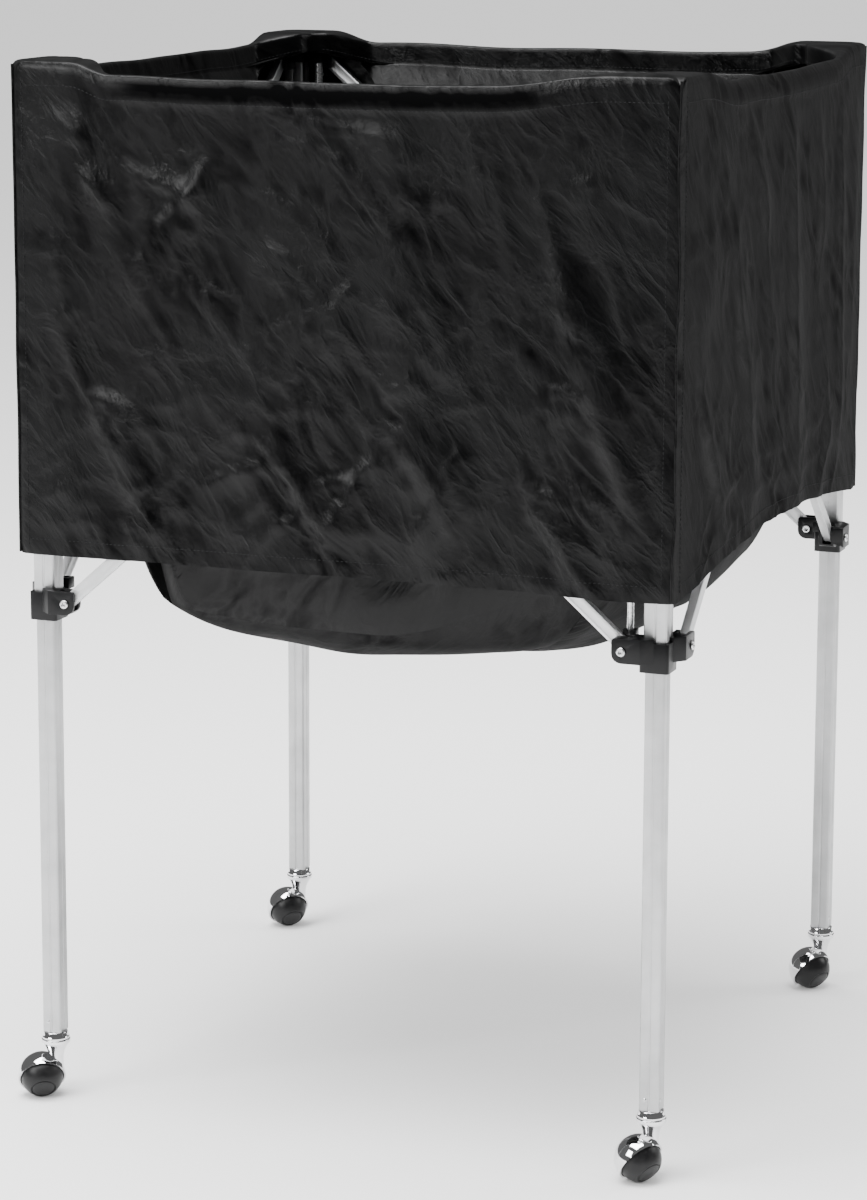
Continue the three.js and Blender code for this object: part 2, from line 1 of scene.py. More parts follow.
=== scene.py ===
"""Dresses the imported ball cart: cloth hopper, frame, moulded collars and ball casters.

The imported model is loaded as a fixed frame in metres. Each class below makes one sub-assembly from
that frame, gives it its finish and hangs it on the body that carries it.
"""

from __future__ import annotations

import json
import logging
import math
from dataclasses import dataclass, field
from enum import Enum
from typing import Sequence

import bmesh
import bpy
import numpy as np
from mathutils import Matrix, Vector

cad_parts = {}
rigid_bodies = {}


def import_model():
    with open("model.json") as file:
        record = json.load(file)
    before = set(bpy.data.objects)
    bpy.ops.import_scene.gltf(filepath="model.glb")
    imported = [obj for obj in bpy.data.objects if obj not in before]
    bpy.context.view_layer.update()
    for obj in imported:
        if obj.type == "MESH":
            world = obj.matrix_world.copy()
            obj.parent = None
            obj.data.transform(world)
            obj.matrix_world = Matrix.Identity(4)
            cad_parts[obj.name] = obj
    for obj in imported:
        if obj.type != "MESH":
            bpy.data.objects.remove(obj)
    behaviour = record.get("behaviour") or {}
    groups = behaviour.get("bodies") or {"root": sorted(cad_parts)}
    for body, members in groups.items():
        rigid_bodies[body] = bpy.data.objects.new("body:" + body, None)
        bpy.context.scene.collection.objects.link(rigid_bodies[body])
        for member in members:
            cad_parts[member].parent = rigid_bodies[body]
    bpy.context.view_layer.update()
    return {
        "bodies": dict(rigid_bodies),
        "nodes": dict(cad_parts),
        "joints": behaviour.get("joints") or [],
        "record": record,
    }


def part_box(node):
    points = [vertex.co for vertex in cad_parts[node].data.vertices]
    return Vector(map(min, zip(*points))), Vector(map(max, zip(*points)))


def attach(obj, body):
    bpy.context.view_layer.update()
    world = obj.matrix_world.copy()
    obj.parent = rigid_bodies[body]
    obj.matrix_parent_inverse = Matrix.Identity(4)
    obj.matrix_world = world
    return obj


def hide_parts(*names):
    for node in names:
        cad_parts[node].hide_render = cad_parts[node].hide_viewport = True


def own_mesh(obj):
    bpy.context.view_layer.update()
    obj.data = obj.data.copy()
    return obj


MM = 0.001
LOG = logging.getLogger("ball_cart")

# Names that the cloth's meshes share with its finish: the attribute that marks the band under the
# rim painted as shade, and the UV map
PAINTED_BAND_SHADE = "hem"
CLOTH_MAP = "cloth"

# Angles, in degrees, past which an edge is shaded sharp
HARD_EDGE = 34.0
CLOTH_EDGE = 60.0

# How far in from each side the middle of a rounded corner lies, as a share of its radius
ROUND_SHARE = 1 - 1 / math.sqrt(2)

Colour = tuple[float, float, float]
Profile = Sequence[tuple[float, float]]


class Slot(Enum):
    """The record's material slots."""

    ALUMINIUM = "aluminium"
    STEEL = "steel"
    CHROME = "chrome"
    MOULDING = "moulding"
    WHEEL = "wheel"
    NYLON = "nylon"


class Corner(Enum):
    """The four legs, going round from the front left."""

    FRONT_LEFT = "fl"
    FRONT_RIGHT = "fr"
    REAR_RIGHT = "rr"
    REAR_LEFT = "rl"


class Side(Enum):
    """The four sides, each starting at the leg of the same place in Corner."""

    FRONT = "front"
    RIGHT = "right"
    BACK = "back"
    LEFT = "left"


class Zone(Enum):
    """The zones of a side's cloth, from the skirt's edge over the rim and down inside."""

    SKIRT = "skirt"
    OVER = "over"
    CASING = "casing"
    LEDGE = "ledge"
    WALL = "wall"


CORNERS = list(Corner)
SIDES = list(Side)

# Rows of points in each zone, and the zones whose rows stand half a step in
ZONE_ROWS = {Zone.SKIRT: 92, Zone.OVER: 10, Zone.CASING: 7, Zone.LEDGE: 3, Zone.WALL: 84}
HALF_STEPPED = (Zone.OVER, Zone.CASING, Zone.LEDGE)

# Seeds of the cloth's ripples, each the first of a row for the sides or corners
RIM_SEED = 40
CRUMPLE_SEED = 60
WALL_SEED = 90
WALL_FINE_SEED = 95
FLOOR_SEED = 120
SKIRT_EDGE_SEED = 140
PIPING_SEED = 150


# Shader helpers


class Signal:
    """A shader socket that can be used in sums, products and powers."""

    def __init__(self, graph: ShaderGraph, socket: bpy.types.NodeSocket) -> None:
        """Wraps an output socket of a graph."""
        self.graph = graph
        self.socket = socket

    def _math(self, operation: str, *values: Signal | float, clamp: bool = False) -> Signal:
        """Adds a Math node.

        Args:
            operation: The Math node's operation.
            values: Its inputs, in order.
            clamp: Whether the result is kept between 0 and 1.

        Returns:
            The node's result.
        """
        node = self.graph.tree.nodes.new("ShaderNodeMath")
        node.operation = operation
        node.use_clamp = clamp
        for index, value in enumerate(values):
            self.graph.feed(node.inputs[index], value)
        return Signal(self.graph, node.outputs[0])

    def __add__(self, other: Signal | float) -> Signal:
        """Returns self + other."""
        return self._math("ADD", self, other)

    __radd__ = __add__

    def __sub__(self, other: Signal | float) -> Signal:
        """Returns self - other."""
        return self._math("SUBTRACT", self, other)

    def __rsub__(self, other: float) -> Signal:
        """Returns other - self."""
        return self._math("SUBTRACT", other, self)

    def __mul__(self, other: Signal | float) -> Signal:
        """Returns self * other."""
        return self._math("MULTIPLY", self, other)

    __rmul__ = __mul__

    def __pow__(self, other: Signal | float) -> Signal:
        """Returns self to the power of other."""
        return self._math("POWER", self, other)

    def sine(self) -> Signal:
        """Returns the sine."""
        return self._math("SINE", self)

    def absolute(self) -> Signal:
        """Returns the size without the sign."""
        return self._math("ABSOLUTE", self)

    def clamped(self) -> Signal:
        """Returns the value kept between 0 and 1."""
        return self._math("ADD", self, 0.0, clamp=True)


class ShaderGraph:
    """A material's nodes, round one Principled shader."""

    def __init__(self, name: str) -> None:
        """Makes an empty material with a Principled shader.

        Args:
            name: The material's name.
        """
        self.material = bpy.data.materials.new(name)
        self.material.use_nodes = True
        self.tree = self.material.node_tree
        self.tree.nodes.clear()
        self.output = self.tree.nodes.new("ShaderNodeOutputMaterial")
        self.shader = self.tree.nodes.new("ShaderNodeBsdfPrincipled")
        self.tree.links.new(self.shader.outputs[0], self.output.inputs["Surface"])

    def feed(self, target: bpy.types.NodeSocket, value: object) -> None:
        """Sets or links one input.

        Args:
            target: The input socket.
            value: A Signal, or a plain number, colour or vector.
        """
        if isinstance(value, Signal):
            self.tree.links.new(value.socket, target)
        elif hasattr(value, "__len__") and len(value) == 3 and target.type == "RGBA":
            target.default_value = (*value, 1.0)
        else:
            target.default_value = value

    def node(self, kind: str, settings: dict | None = None, out: int | str = 0,
             **inputs: object) -> Signal:
        """Adds any node.

        Args:
            kind: The node's type, without its ShaderNode prefix.
            settings: Attributes to set before its inputs.
            out: The output to return.
            inputs: Values or signals by input name, with spaces written as underscores.

        Returns:
            One output of the node.
        """
        node = self.tree.nodes.new("ShaderNode" + kind)
        for key, value in (settings or {}).items():
            setattr(node, key, value)
        for key, value in inputs.items():
            self.feed(node.inputs[key.replace("_", " ")], value)
        return Signal(self, node.outputs[out])

    def where(self, scale: Sequence[float] = (1.0, 1.0, 1.0)) -> Signal:
        """Returns the object's own coordinates, scaled."""
        return self.node("Mapping", Vector=self.node("TexCoord", out="Object"), Scale=scale)

    def cloth_place(self) -> Signal:
        """Returns the piece's UV coordinates, in metres along the cloth."""
        return self.node("UVMap", {"uv_map": CLOTH_MAP})

    def axis(self, vector: Signal, name: str) -> Signal:
        """Returns one part, X, Y or Z, of a vector."""
        return self.node("SeparateXYZ", out=name, Vector=vector)

    def noise(self, vector: Signal, scale: float, detail: float = 3.0, rough: float = 0.5,
              distortion: float = 0.0) -> Signal:
        """Returns smooth noise between 0 and 1."""
        return self.node("TexNoise", Vector=vector, Scale=scale, Detail=detail, Roughness=rough,
                         Distortion=distortion)

    def spread(self, value: Signal, low: float, high: float, to_low: float = 0.0,
               to_high: float = 1.0) -> Signal:
        """Stretches a value from one range to another and keeps it inside.

        Args:
            value: The value.
            low: Where the first range starts.
            high: Where it ends.
            to_low: Where the second range starts.
            to_high: Where it ends.

        Returns:
            The stretched value.
        """
        node = self.tree.nodes.new("ShaderNodeMapRange")
        node.clamp = True
        for index, given in enumerate((value, low, high, to_low, to_high)):
            self.feed(node.inputs[index], given)
        return Signal(self, node.outputs[0])

    def spots(self, scale: float, detail: float, rough: float, low: float,
              high: float) -> Signal:
        """Returns patches of noise on the object, 0 below low and 1 above high."""
        return self.spread(self.noise(self.where(), scale, detail, rough), low, high)

    def blend(self, share: Signal, first: object, second: object) -> Signal:
        """Mixes two colours.

        Args:
            share: How much of the second there is.
            first: The colour where share is 0.
            second: The colour where share is 1.

        Returns:
            The mixed colour.
        """
        node = self.tree.nodes.new("ShaderNodeMix")
        node.data_type = "RGBA"
        self.feed(node.inputs[0], share)
        self.feed(node.inputs[6], first)
        self.feed(node.inputs[7], second)
        return Signal(self, node.outputs[2])

    def bump(self, height: Signal, distance: float, strength: float,
             under: Signal | None = None) -> Signal:
        """Returns a normal raised by height.

        Args:
            height: The height, in units of distance.
            distance: What a height of 1 stands for, in metres.
            strength: How much of it shows.
            under: A normal to build on.

        Returns:
            The new normal.
        """
        inputs: dict[str, object] = {"Height": height, "Distance": distance, "Strength": strength}
        if under is not None:
            inputs["Normal"] = under
        return self.node("Bump", **inputs)

    def set(self, **inputs: object) -> None:
        """Sets inputs of the Principled shader, with spaces written as underscores."""
        for key, value in inputs.items():
            self.feed(self.shader.inputs[key.replace("_", " ")], value)

    def cover(self, share: Signal, **inputs: object) -> None:
        """Lays a second, plain finish over the first.

        Args:
            share: How much of the second finish shows.
            inputs: Inputs of the second Principled shader.
        """
        first = self.shader
        self.shader = self.tree.nodes.new("ShaderNodeBsdfPrincipled")
        self.set(**inputs)
        mix = self.tree.nodes.new("ShaderNodeMixShader")
        self.feed(mix.inputs[0], share)
        self.tree.links.new(first.outputs[0], mix.inputs[1])
        self.tree.links.new(self.shader.outputs[0], mix.inputs[2])
        self.tree.links.new(mix.outputs[0], self.output.inputs["Surface"])


# Finishes


@dataclass(frozen=True)
class DrawnAluminium:
    """Satin aluminium with fine lines along the way it was drawn."""

    name: str = "drawn_aluminium"
    colour: Colour = (0.52, 0.523, 0.527)
    dull: Colour = (0.44, 0.443, 0.447)
    lines_along: int = 2
    line_scale: float = 900.0
    line_draw: float = 14.0
    roughness: tuple[float, float] = (0.36, 0.52)

    def build(self) -> bpy.types.Material:
        """Builds the finish.

        Returns:
            The material.
        """
        graph = ShaderGraph(self.name)
        scale = [self.line_scale] * 3
        scale[self.lines_along] = self.line_draw
        lines = graph.noise(graph.where(scale), 1.0, 2.0, 0.6)
        cloud = graph.spots(38.0, 4.0, 0.55, 0.35, 0.7)
        handled = graph.spots(7.0, 3.0, 0.5, 0.42, 0.62)
        graph.set(
            Base_Color=graph.blend(cloud, self.colour, self.dull),
            Metallic=1.0,
            Roughness=graph.spread(lines * 0.6 + handled * 0.4, 0.2, 0.8, *self.roughness),
            Normal=graph.bump(lines, 0.06 * MM, 0.5),
        )
        return graph.material


@dataclass(frozen=True)
class ZincSteel:
    """Bright zinc plate with faint mottling, for bolts, screws and struts."""

    name: str = "zinc_steel"
    colour: Colour = (0.66, 0.665, 0.67)
    dull: Colour = (0.50, 0.505, 0.51)
    roughness: tuple[float, float] = (0.2, 0.38)

    def build(self) -> bpy.types.Material:
        """Builds the finish.

        Returns:
            The material.
        """
        graph = ShaderGraph(self.name)
        mottle = graph.noise(graph.where(), 260.0, 5.0, 0.6)
        turned = graph.noise(graph.where((90.0, 90.0, 2400.0)), 1.0, 2.0)
        graph.set(
            Base_Color=graph.blend(graph.spread(mottle, 0.35, 0.7), self.colour, self.dull),
            Metallic=1.0,
            Roughness=graph.spread(mottle, 0.3, 0.75, *self.roughness),
            Normal=graph.bump(turned, 0.03 * MM, 0.4),
        )
        return graph.material


@dataclass(frozen=True)
class BrightChrome:
    """Polished chrome with a few dull spots low down."""

    name: str = "bright_chrome"
    colour: Colour = (0.80, 0.80, 0.81)
    stained: Colour = (0.55, 0.54, 0.53)
    roughness: tuple[float, float] = (0.05, 0.2)

    def build(self) -> bpy.types.Material:
        """Builds the finish.

        Returns:
            The material.
        """
        graph = ShaderGraph(self.name)
        stains = graph.spots(180.0, 5.0, 0.62, 0.58, 0.8)
        waves = graph.noise(graph.where(), 55.0, 2.0)
        graph.set(
            Base_Color=graph.blend(stains * 0.6, self.colour, self.stained),
            Metallic=1.0,
            Roughness=graph.spread(stains, 0.0, 1.0, *self.roughness),
            Normal=graph.bump(waves, 0.4 * MM, 0.25),
        )
        return graph.material


@dataclass(frozen=True)
class SatinMoulding:
    """Black moulded plastic with a fine eroded grain."""

    name: str = "satin_moulding"
    colour: Colour = (0.0025, 0.0026, 0.003)
    rubbed: Colour = (0.008, 0.008, 0.0085)
    roughness: tuple[float, float] = (0.3, 0.46)
    grain: float = 1500.0

    def build(self) -> bpy.types.Material:
        """Builds the finish.

        Returns:
            The material.
        """
        graph = ShaderGraph(self.name)
        grain = graph.noise(graph.where(), self.grain, 2.0, 0.7)
        rub = graph.spots(45.0, 5.0, 0.6, 0.5, 0.78)
        flow = graph.noise(graph.where((60.0, 60.0, 240.0)), 1.0, 2.0)
        under = graph.bump(flow, 0.2 * MM, 0.25)
        graph.set(
            Base_Color=graph.blend(rub, self.colour, self.rubbed),
            Roughness=graph.spread(grain * 0.5 + rub * 0.5, 0.1, 0.8, *self.roughness),
            Specular_IOR_Level=0.22,
            Normal=graph.bump(grain, 0.08 * MM, 0.5, under),
        )
        return graph.material


@dataclass(frozen=True)
class WheelPlastic:
    """Hard black wheel plastic, scuffed on its tread."""

    name: str = "wheel_plastic"
    colour: Colour = (0.004, 0.004, 0.0045)
    scuffed: Colour = (0.018, 0.0178, 0.0175)
    roughness: tuple[float, float] = (0.36, 0.6)

    def build(self) -> bpy.types.Material:
        """Builds the finish.

        Returns:
            The material.
        """
        graph = ShaderGraph(self.name)
        scuffs = graph.spots(420.0, 6.0, 0.7, 0.52, 0.75)
        dust = graph.spots(90.0, 4.0, 0.5, 0.4, 0.8)
        graph.set(
            Base_Color=graph.blend(scuffs * 0.5 + dust * 0.3, self.colour, self.scuffed),
            Roughness=graph.spread(scuffs + dust * 0.5, 0.0, 1.0, *self.roughness),
            Specular_IOR_Level=0.3,
            Normal=graph.bump(scuffs, 0.06 * MM, 0.5),
        )
        return graph.material


@dataclass(frozen=True)
class WovenNylon:
    """Black coated nylon: plain weave, slanted crumples with painted shade in their hollows, a band
    under the rim painted as matt dark shade, and a soft sheen.
    """

    name: str = "woven_nylon"
    thread: Colour = (0.0004, 0.00042, 0.0005)
    faded: Colour = (0.0016, 0.0017, 0.0019)
    thread_pitch: float = 1.1 * MM
    thread_rise: float = 0.12 * MM
    crumple_rise: float = 2.2 * MM
    crumple_size: tuple[float, float, float] = (26.0 * MM, 66.0 * MM, 1.0)
    crumple_slant: float = 38.0
    roughness: tuple[float, float] = (0.23, 0.35)
    grazing: float = 0.6
    gloss: float = 0.165
    # Painted shade: how much of the crease valleys gets the dark cover, and that cover's roughness
    # and gloss
    crease_shade_share: float = 0.95
    shade_cover_roughness: float = 0.7
    shade_cover_gloss: float = 0.02

    def build(self) -> bpy.types.Material:
        """Builds the finish.

        Returns:
            The material.
        """
        graph = ShaderGraph(self.name)
        place = graph.cloth_place()
        rate = 2 * math.pi / self.thread_pitch
        warp = (graph.axis(place, "X") * rate).sine()
        weft = (graph.axis(place, "Y") * rate).sine()
        weave = (warp * weft) * 0.5 + 0.5
        aside = graph.node("LayerWeight", out="Facing", Blend=0.5)
        # The band under the rim, whose share is painted as shade: a dark, matt cover without gloss
        hem = graph.node("Attribute", {"attribute_name": PAINTED_BAND_SHADE}, out="Fac")
        slanted = graph.node("Mapping", {"vector_type": "TEXTURE"}, Vector=place,
                             Scale=self.crumple_size,
                             Rotation=(0.0, 0.0, math.radians(self.crumple_slant)))
        crumple = graph.noise(slanted, 1.0, 5.0, 0.55, 0.35)
        creases = 1.0 - (crumple * 2.0 - 1.0).absolute()
        patches = graph.spots(9.0, 4.0, 0.6, 0.35, 0.7)
        wear = graph.spots(210.0, 4.0, 0.65, 0.45, 0.75)
        soft = graph.bump((creases ** 2.0) * (1.0 - hem), self.crumple_rise, 0.42)
        # Painted shade: the crumples' valleys, in broad patches, are darkened as if in shadow
        painted_crease_shade = (1.0 - graph.spread(creases, 0.62, 0.98)) * graph.spread(
            graph.noise(slanted, 0.3, 3.0, 0.55), 0.38, 0.6) * self.crease_shade_share
        graph.set(
            Base_Color=graph.blend((patches * 0.6 + wear * 0.25) * (1.0 - hem), self.thread,
                                   self.faded),
            Roughness=(graph.spread(patches * 0.6 + weave * 0.4, 0.0, 1.0, *self.roughness)
                       + graph.spread(aside, 0.25, 0.65) * self.grazing).clamped(),
            Specular_IOR_Level=self.gloss,
            Normal=graph.bump(weave, self.thread_rise, 0.4, soft),
        )
        # Painted shade: the crease valleys and the band under the rim are covered with a dark, matt,
        # nearly glossless finish
        graph.cover((painted_crease_shade + hem).clamped(), Base_Color=self.thread,
                    Roughness=self.shade_cover_roughness, Specular_IOR_Level=self.shade_cover_gloss)
        return graph.material


@dataclass(frozen=True)
class SewingThread:
    """Matt black sewing thread with its twist."""

    name: str = "sewing_thread"
    colour: Colour = (0.010, 0.0103, 0.011)
    shade: Colour = (0.004, 0.004, 0.0045)

    def build(self) -> bpy.types.Material:
        """Builds the finish.

        Returns:
            The material.
        """
        graph = ShaderGraph(self.name)
        twist = graph.noise(graph.where(), 2600.0, 2.0)
        graph.set(
            Base_Color=graph.blend(twist, self.colour, self.shade),
            Roughness=0.7,
            Specular_IOR_Level=0.2,
            Normal=graph.bump(twist, 0.1 * MM, 0.5),
        )
        return graph.material


# Mesh helpers


def new_object(name: str, data: bpy.types.ID) -> bpy.types.Object:
    """Links a new object.

    Args:
        name: Its name.
        data: The mesh, light or camera that it holds.

    Returns:
        The object.
    """
    made = bpy.data.objects.new(name, data)
    bpy.context.scene.collection.objects.link(made)
    return made


def from_bmesh(name: str, work: bmesh.types.BMesh) -> bpy.types.Object:
    """Turns a finished bmesh into a new object.

    Args:
        name: The name of the object and its mesh.
        work: The bmesh, which is freed.

    Returns:
        The object.
    """
    mesh = bpy.data.meshes.new(name)
    work.to_mesh(mesh)
    work.free()
    return new_object(name, mesh)


def smooth(made: bpy.types.Object, angle: float = HARD_EDGE) -> None:
    """Shades an object smooth, with edges sharper than angle, in degrees, kept sharp."""
    for face in made.data.polygons:
        face.use_smooth = True
    made.data.set_sharp_from_angle(angle=math.radians(angle))


def frozen(made: bpy.types.Object) -> bpy.types.Object:
    """Applies every modifier of an object.

    Args:
        made: The object.

    Returns:
        The same object, with a plain mesh.
    """
    graph = bpy.context.evaluated_depsgraph_get()
    graph.update()
    plain = bpy.data.meshes.new_from_object(made.evaluated_get(graph))
    old = made.data
    made.modifiers.clear()
    made.data = plain
    plain.name = made.name
    bpy.data.meshes.remove(old)
    return made


def lathe(name: str, profile: Profile, sides: int, place: Matrix = Matrix()) -> bpy.types.Object:
    """Turns a profile about Z.

    Args:
        name: The new object's name.
        profile: Points of radius and height, in metres, from the axis round to the axis.
        sides: Facets round the axis.
        place: Where the finished shape goes.

    Returns:
        The new object, with its place in its mesh.
    """
    work = bmesh.new()
    points = [work.verts.new((radius, 0.0, height)) for radius, height in profile]
    edges = [work.edges.new(pair) for pair in zip(points, points[1:])]
    bmesh.ops.spin(work, geom=points + edges, cent=(0, 0, 0), axis=(0, 0, 1), steps=sides,
                   angle=2 * math.pi, use_merge=True)
    bmesh.ops.remove_doubles(work, verts=work.verts, dist=1e-6)
    bmesh.ops.dissolve_degenerate(work, dist=1e-7, edges=work.edges)
    bmesh.ops.recalc_face_normals(work, faces=work.faces)
    bmesh.ops.transform(work, matrix=place, verts=work.verts)
    return from_bmesh(name, work)


def rounded(profile: Profile, radius: float, steps: int = 3) -> Profile:
    """Rounds the inner corners of a profile.

    Args:
        profile: Points of radius and height.
        radius: Radius of each rounding, made smaller where a side is short.
        steps: Points along each rounding.

    Returns:
        The new profile.
    """
    points = [np.array(p, float) for p in profile]
    result = [tuple(points[0])]
    for before, here, after in zip(points, points[1:], points[2:]):
        back, ahead = before - here, after - here
        reach = min(radius, 0.45 * np.linalg.norm(back), 0.45 * np.linalg.norm(ahead))
        start = here + back / np.linalg.norm(back) * reach
        end = here + ahead / np.linalg.norm(ahead) * reach
        for k in range(steps + 1):
            t = k / steps
            result.append(tuple((1 - t) ** 2 * start + 2 * t * (1 - t) * here + t * t * end))
    result.append(tuple(points[-1]))
    return result


def combine(target: bpy.types.Object, other: bpy.types.Object, operation: str) -> None:
    """Joins or cuts one object with another.

    Args:
        target: The object that stays.
        other: The object that is used up.
        operation: The Boolean modifier's operation.
    """
    step = target.modifiers.new("join", "BOOLEAN")
    step.operation, step.object, step.solver = operation, other, "EXACT"
    frozen(target)
    bpy.data.objects.remove(other)


def edged(node: bpy.types.Object, name: str, width: float) -> bpy.types.Object:
    """Copies a CAD node with its facets merged and its edges slightly rounded.

    Args:
        node: The CAD node.
        name: The new object's name.
        width: Width of the rounding, in metres.

    Returns:
        The new object.
    """
    work = bmesh.new()
    work.from_mesh(node.data)
    bmesh.ops.remove_doubles(work, verts=work.verts, dist=2e-6)
    bmesh.ops.dissolve_limit(work, angle_limit=math.radians(1.0), verts=work.verts,
                             edges=work.edges, delimit={"NORMAL"})
    made = from_bmesh(name, work)
    bevel = made.modifiers.new("edges", "BEVEL")
    bevel.width, bevel.segments, bevel.limit_method = width, 2, "ANGLE"
    bevel.angle_limit = math.radians(28)
    smooth(frozen(made))
    return made


# The frame


@dataclass
class CartFrame:
    """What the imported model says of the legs' places."""

    loaded: dict
    legs: list[Vector] = field(init=False)
    spacing: float = field(init=False)

    def __post_init__(self) -> None:
        """Reads the legs' centre lines."""
        self.legs = []
        for corner in CORNERS:
            low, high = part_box("lower_tube_" + corner.value)
            self.legs.append(Vector(((low.x + high.x) / 2, (low.y + high.y) / 2, 0.0)))
        self.spacing = (self.legs[1] - self.legs[0]).length

    def node(self, name: str) -> bpy.types.Object:
        """Returns a CAD node's object."""
        return self.loaded["nodes"][name]

    def body_of(self, node: str) -> str:
        """Returns the body that carries a node."""
        bodies = self.loaded["record"]["behaviour"]["bodies"]
        return next(body for body, nodes in bodies.items() if node in nodes)

    def place(self, index: int) -> Matrix:
        """Returns the placing of leg index's own frame, whose X runs along its side."""
        return Matrix.Translation(self.legs[index]) @ Matrix.Rotation(index * math.pi / 2, 4, "Z")

    def caster(self, index: int) -> Matrix:
        """Returns the placing of a caster: on the leg's line, with X towards its ball."""
        away = self.axle(index)[0] - self.legs[index]
        return (Matrix.Translation(self.legs[index])
                @ Matrix.Rotation(math.atan2(away.y, away.x), 4, "Z"))

    def axle(self, index: int) -> tuple[Vector, Vector]:
        """Returns the ball's middle and the axle's direction, which points down and out."""
        joint = next(j for j in self.loaded["joints"]
                     if j["name"] == "roll_" + CORNERS[index].value)
        return Vector(joint["pos_m"]), Vector(joint["axis"]).normalized()


def hang(piece: bpy.types.Object, body: str, material: bpy.types.Material,
         replaced: Sequence[str] = ()) -> None:
    """Gives a piece its finish and body, and hides the CAD nodes it stands for.

    Args:
        piece: The finished piece.
        body: The body it rides on.
        material: Its finish.
        replaced: The CAD nodes it stands for.
    """
    piece.data.materials.clear()
    piece.data.materials.append(material)
    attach(piece, body)
    if replaced:
        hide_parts(*replaced)
    LOG.info("%s rides on %s, %d faces", piece.name, body, len(piece.data.polygons))


# Geometry node trees


class TreeBuilder:
    """A geometry node tree with named inputs for its sizes."""

    def __init__(self, name: str, sizes: dict[str, float]) -> None:
        """Makes the tree with a geometry input and one input for each size.

        Args:
            name: The tree's name.
            sizes: Names and default values of its inputs.
        """
        self.tree = bpy.data.node_groups.new(name, "GeometryNodeTree")
        face = self.tree.interface
        face.new_socket("Path", in_out="INPUT", socket_type="NodeSocketGeometry")
        self.identifiers: dict[str, str] = {}
        for key, value in sizes.items():
            socket = face.new_socket(key, in_out="INPUT", socket_type="NodeSocketFloat")
            socket.default_value = value
            self.identifiers[key] = socket.identifier
        finish = face.new_socket("Finish", in_out="INPUT", socket_type="NodeSocketMaterial")
        self.identifiers["Finish"] = finish.identifier
        face.new_socket("Pieces", in_out="OUTPUT", socket_type="NodeSocketGeometry")
        self.inputs = self.tree.nodes.new("NodeGroupInput")
        self.output = self.tree.nodes.new("NodeGroupOutput")

    def add(self, kind: str, settings: dict | None = None, links: dict | None = None,
            out: int | str = 0) -> bpy.types.NodeSocket:
        """Adds a node.

        Args:
            kind: The node's full type.
            settings: Attributes to set first.
            links: Sockets or plain values by input name or index.
            out: The output to return.

        Returns:
            The output socket.
        """
        node = self.tree.nodes.new(kind)
        for key, value in (settings or {}).items():
            setattr(node, key, value)
        for key, value in (links or {}).items():
            if isinstance(value, bpy.types.NodeSocket):
                self.tree.links.new(value, node.inputs[key])
            else:
                node.inputs[key].default_value = value
        return node.outputs[out]

    def size(self, name: str) -> bpy.types.NodeSocket:
        """Returns the tree's own input of that name."""
        return self.inputs.outputs[name]

    def finish(self, geometry: bpy.types.NodeSocket) -> TreeBuilder:
        """Ends the tree with Realize Instances and Set Material.

        Args:
            geometry: What the tree has made.

        Returns:
            The finished tree.
        """
        real = self.add("GeometryNodeRealizeInstances", links={"Geometry": geometry})
        done = self.add("GeometryNodeSetMaterial",
                        links={"Geometry": real, "Material": self.size("Finish")})
        self.tree.links.new(done, self.output.inputs[0])
        return self

    def run(self, made: bpy.types.Object, finish: bpy.types.Material, **sizes: float) -> None:
        """Runs the tree on an object and turns the result into a plain mesh.

        Args:
            made: The object that holds the path or points.
            finish: The material of the result.
            sizes: Values of the tree's inputs.
        """
        step = made.modifiers.new(self.tree.name, "NODES")
        step.node_group = self.tree
        step[self.identifiers["Finish"]] = finish
        for key, value in sizes.items():
            step[self.identifiers[key]] = value
        frozen(made)


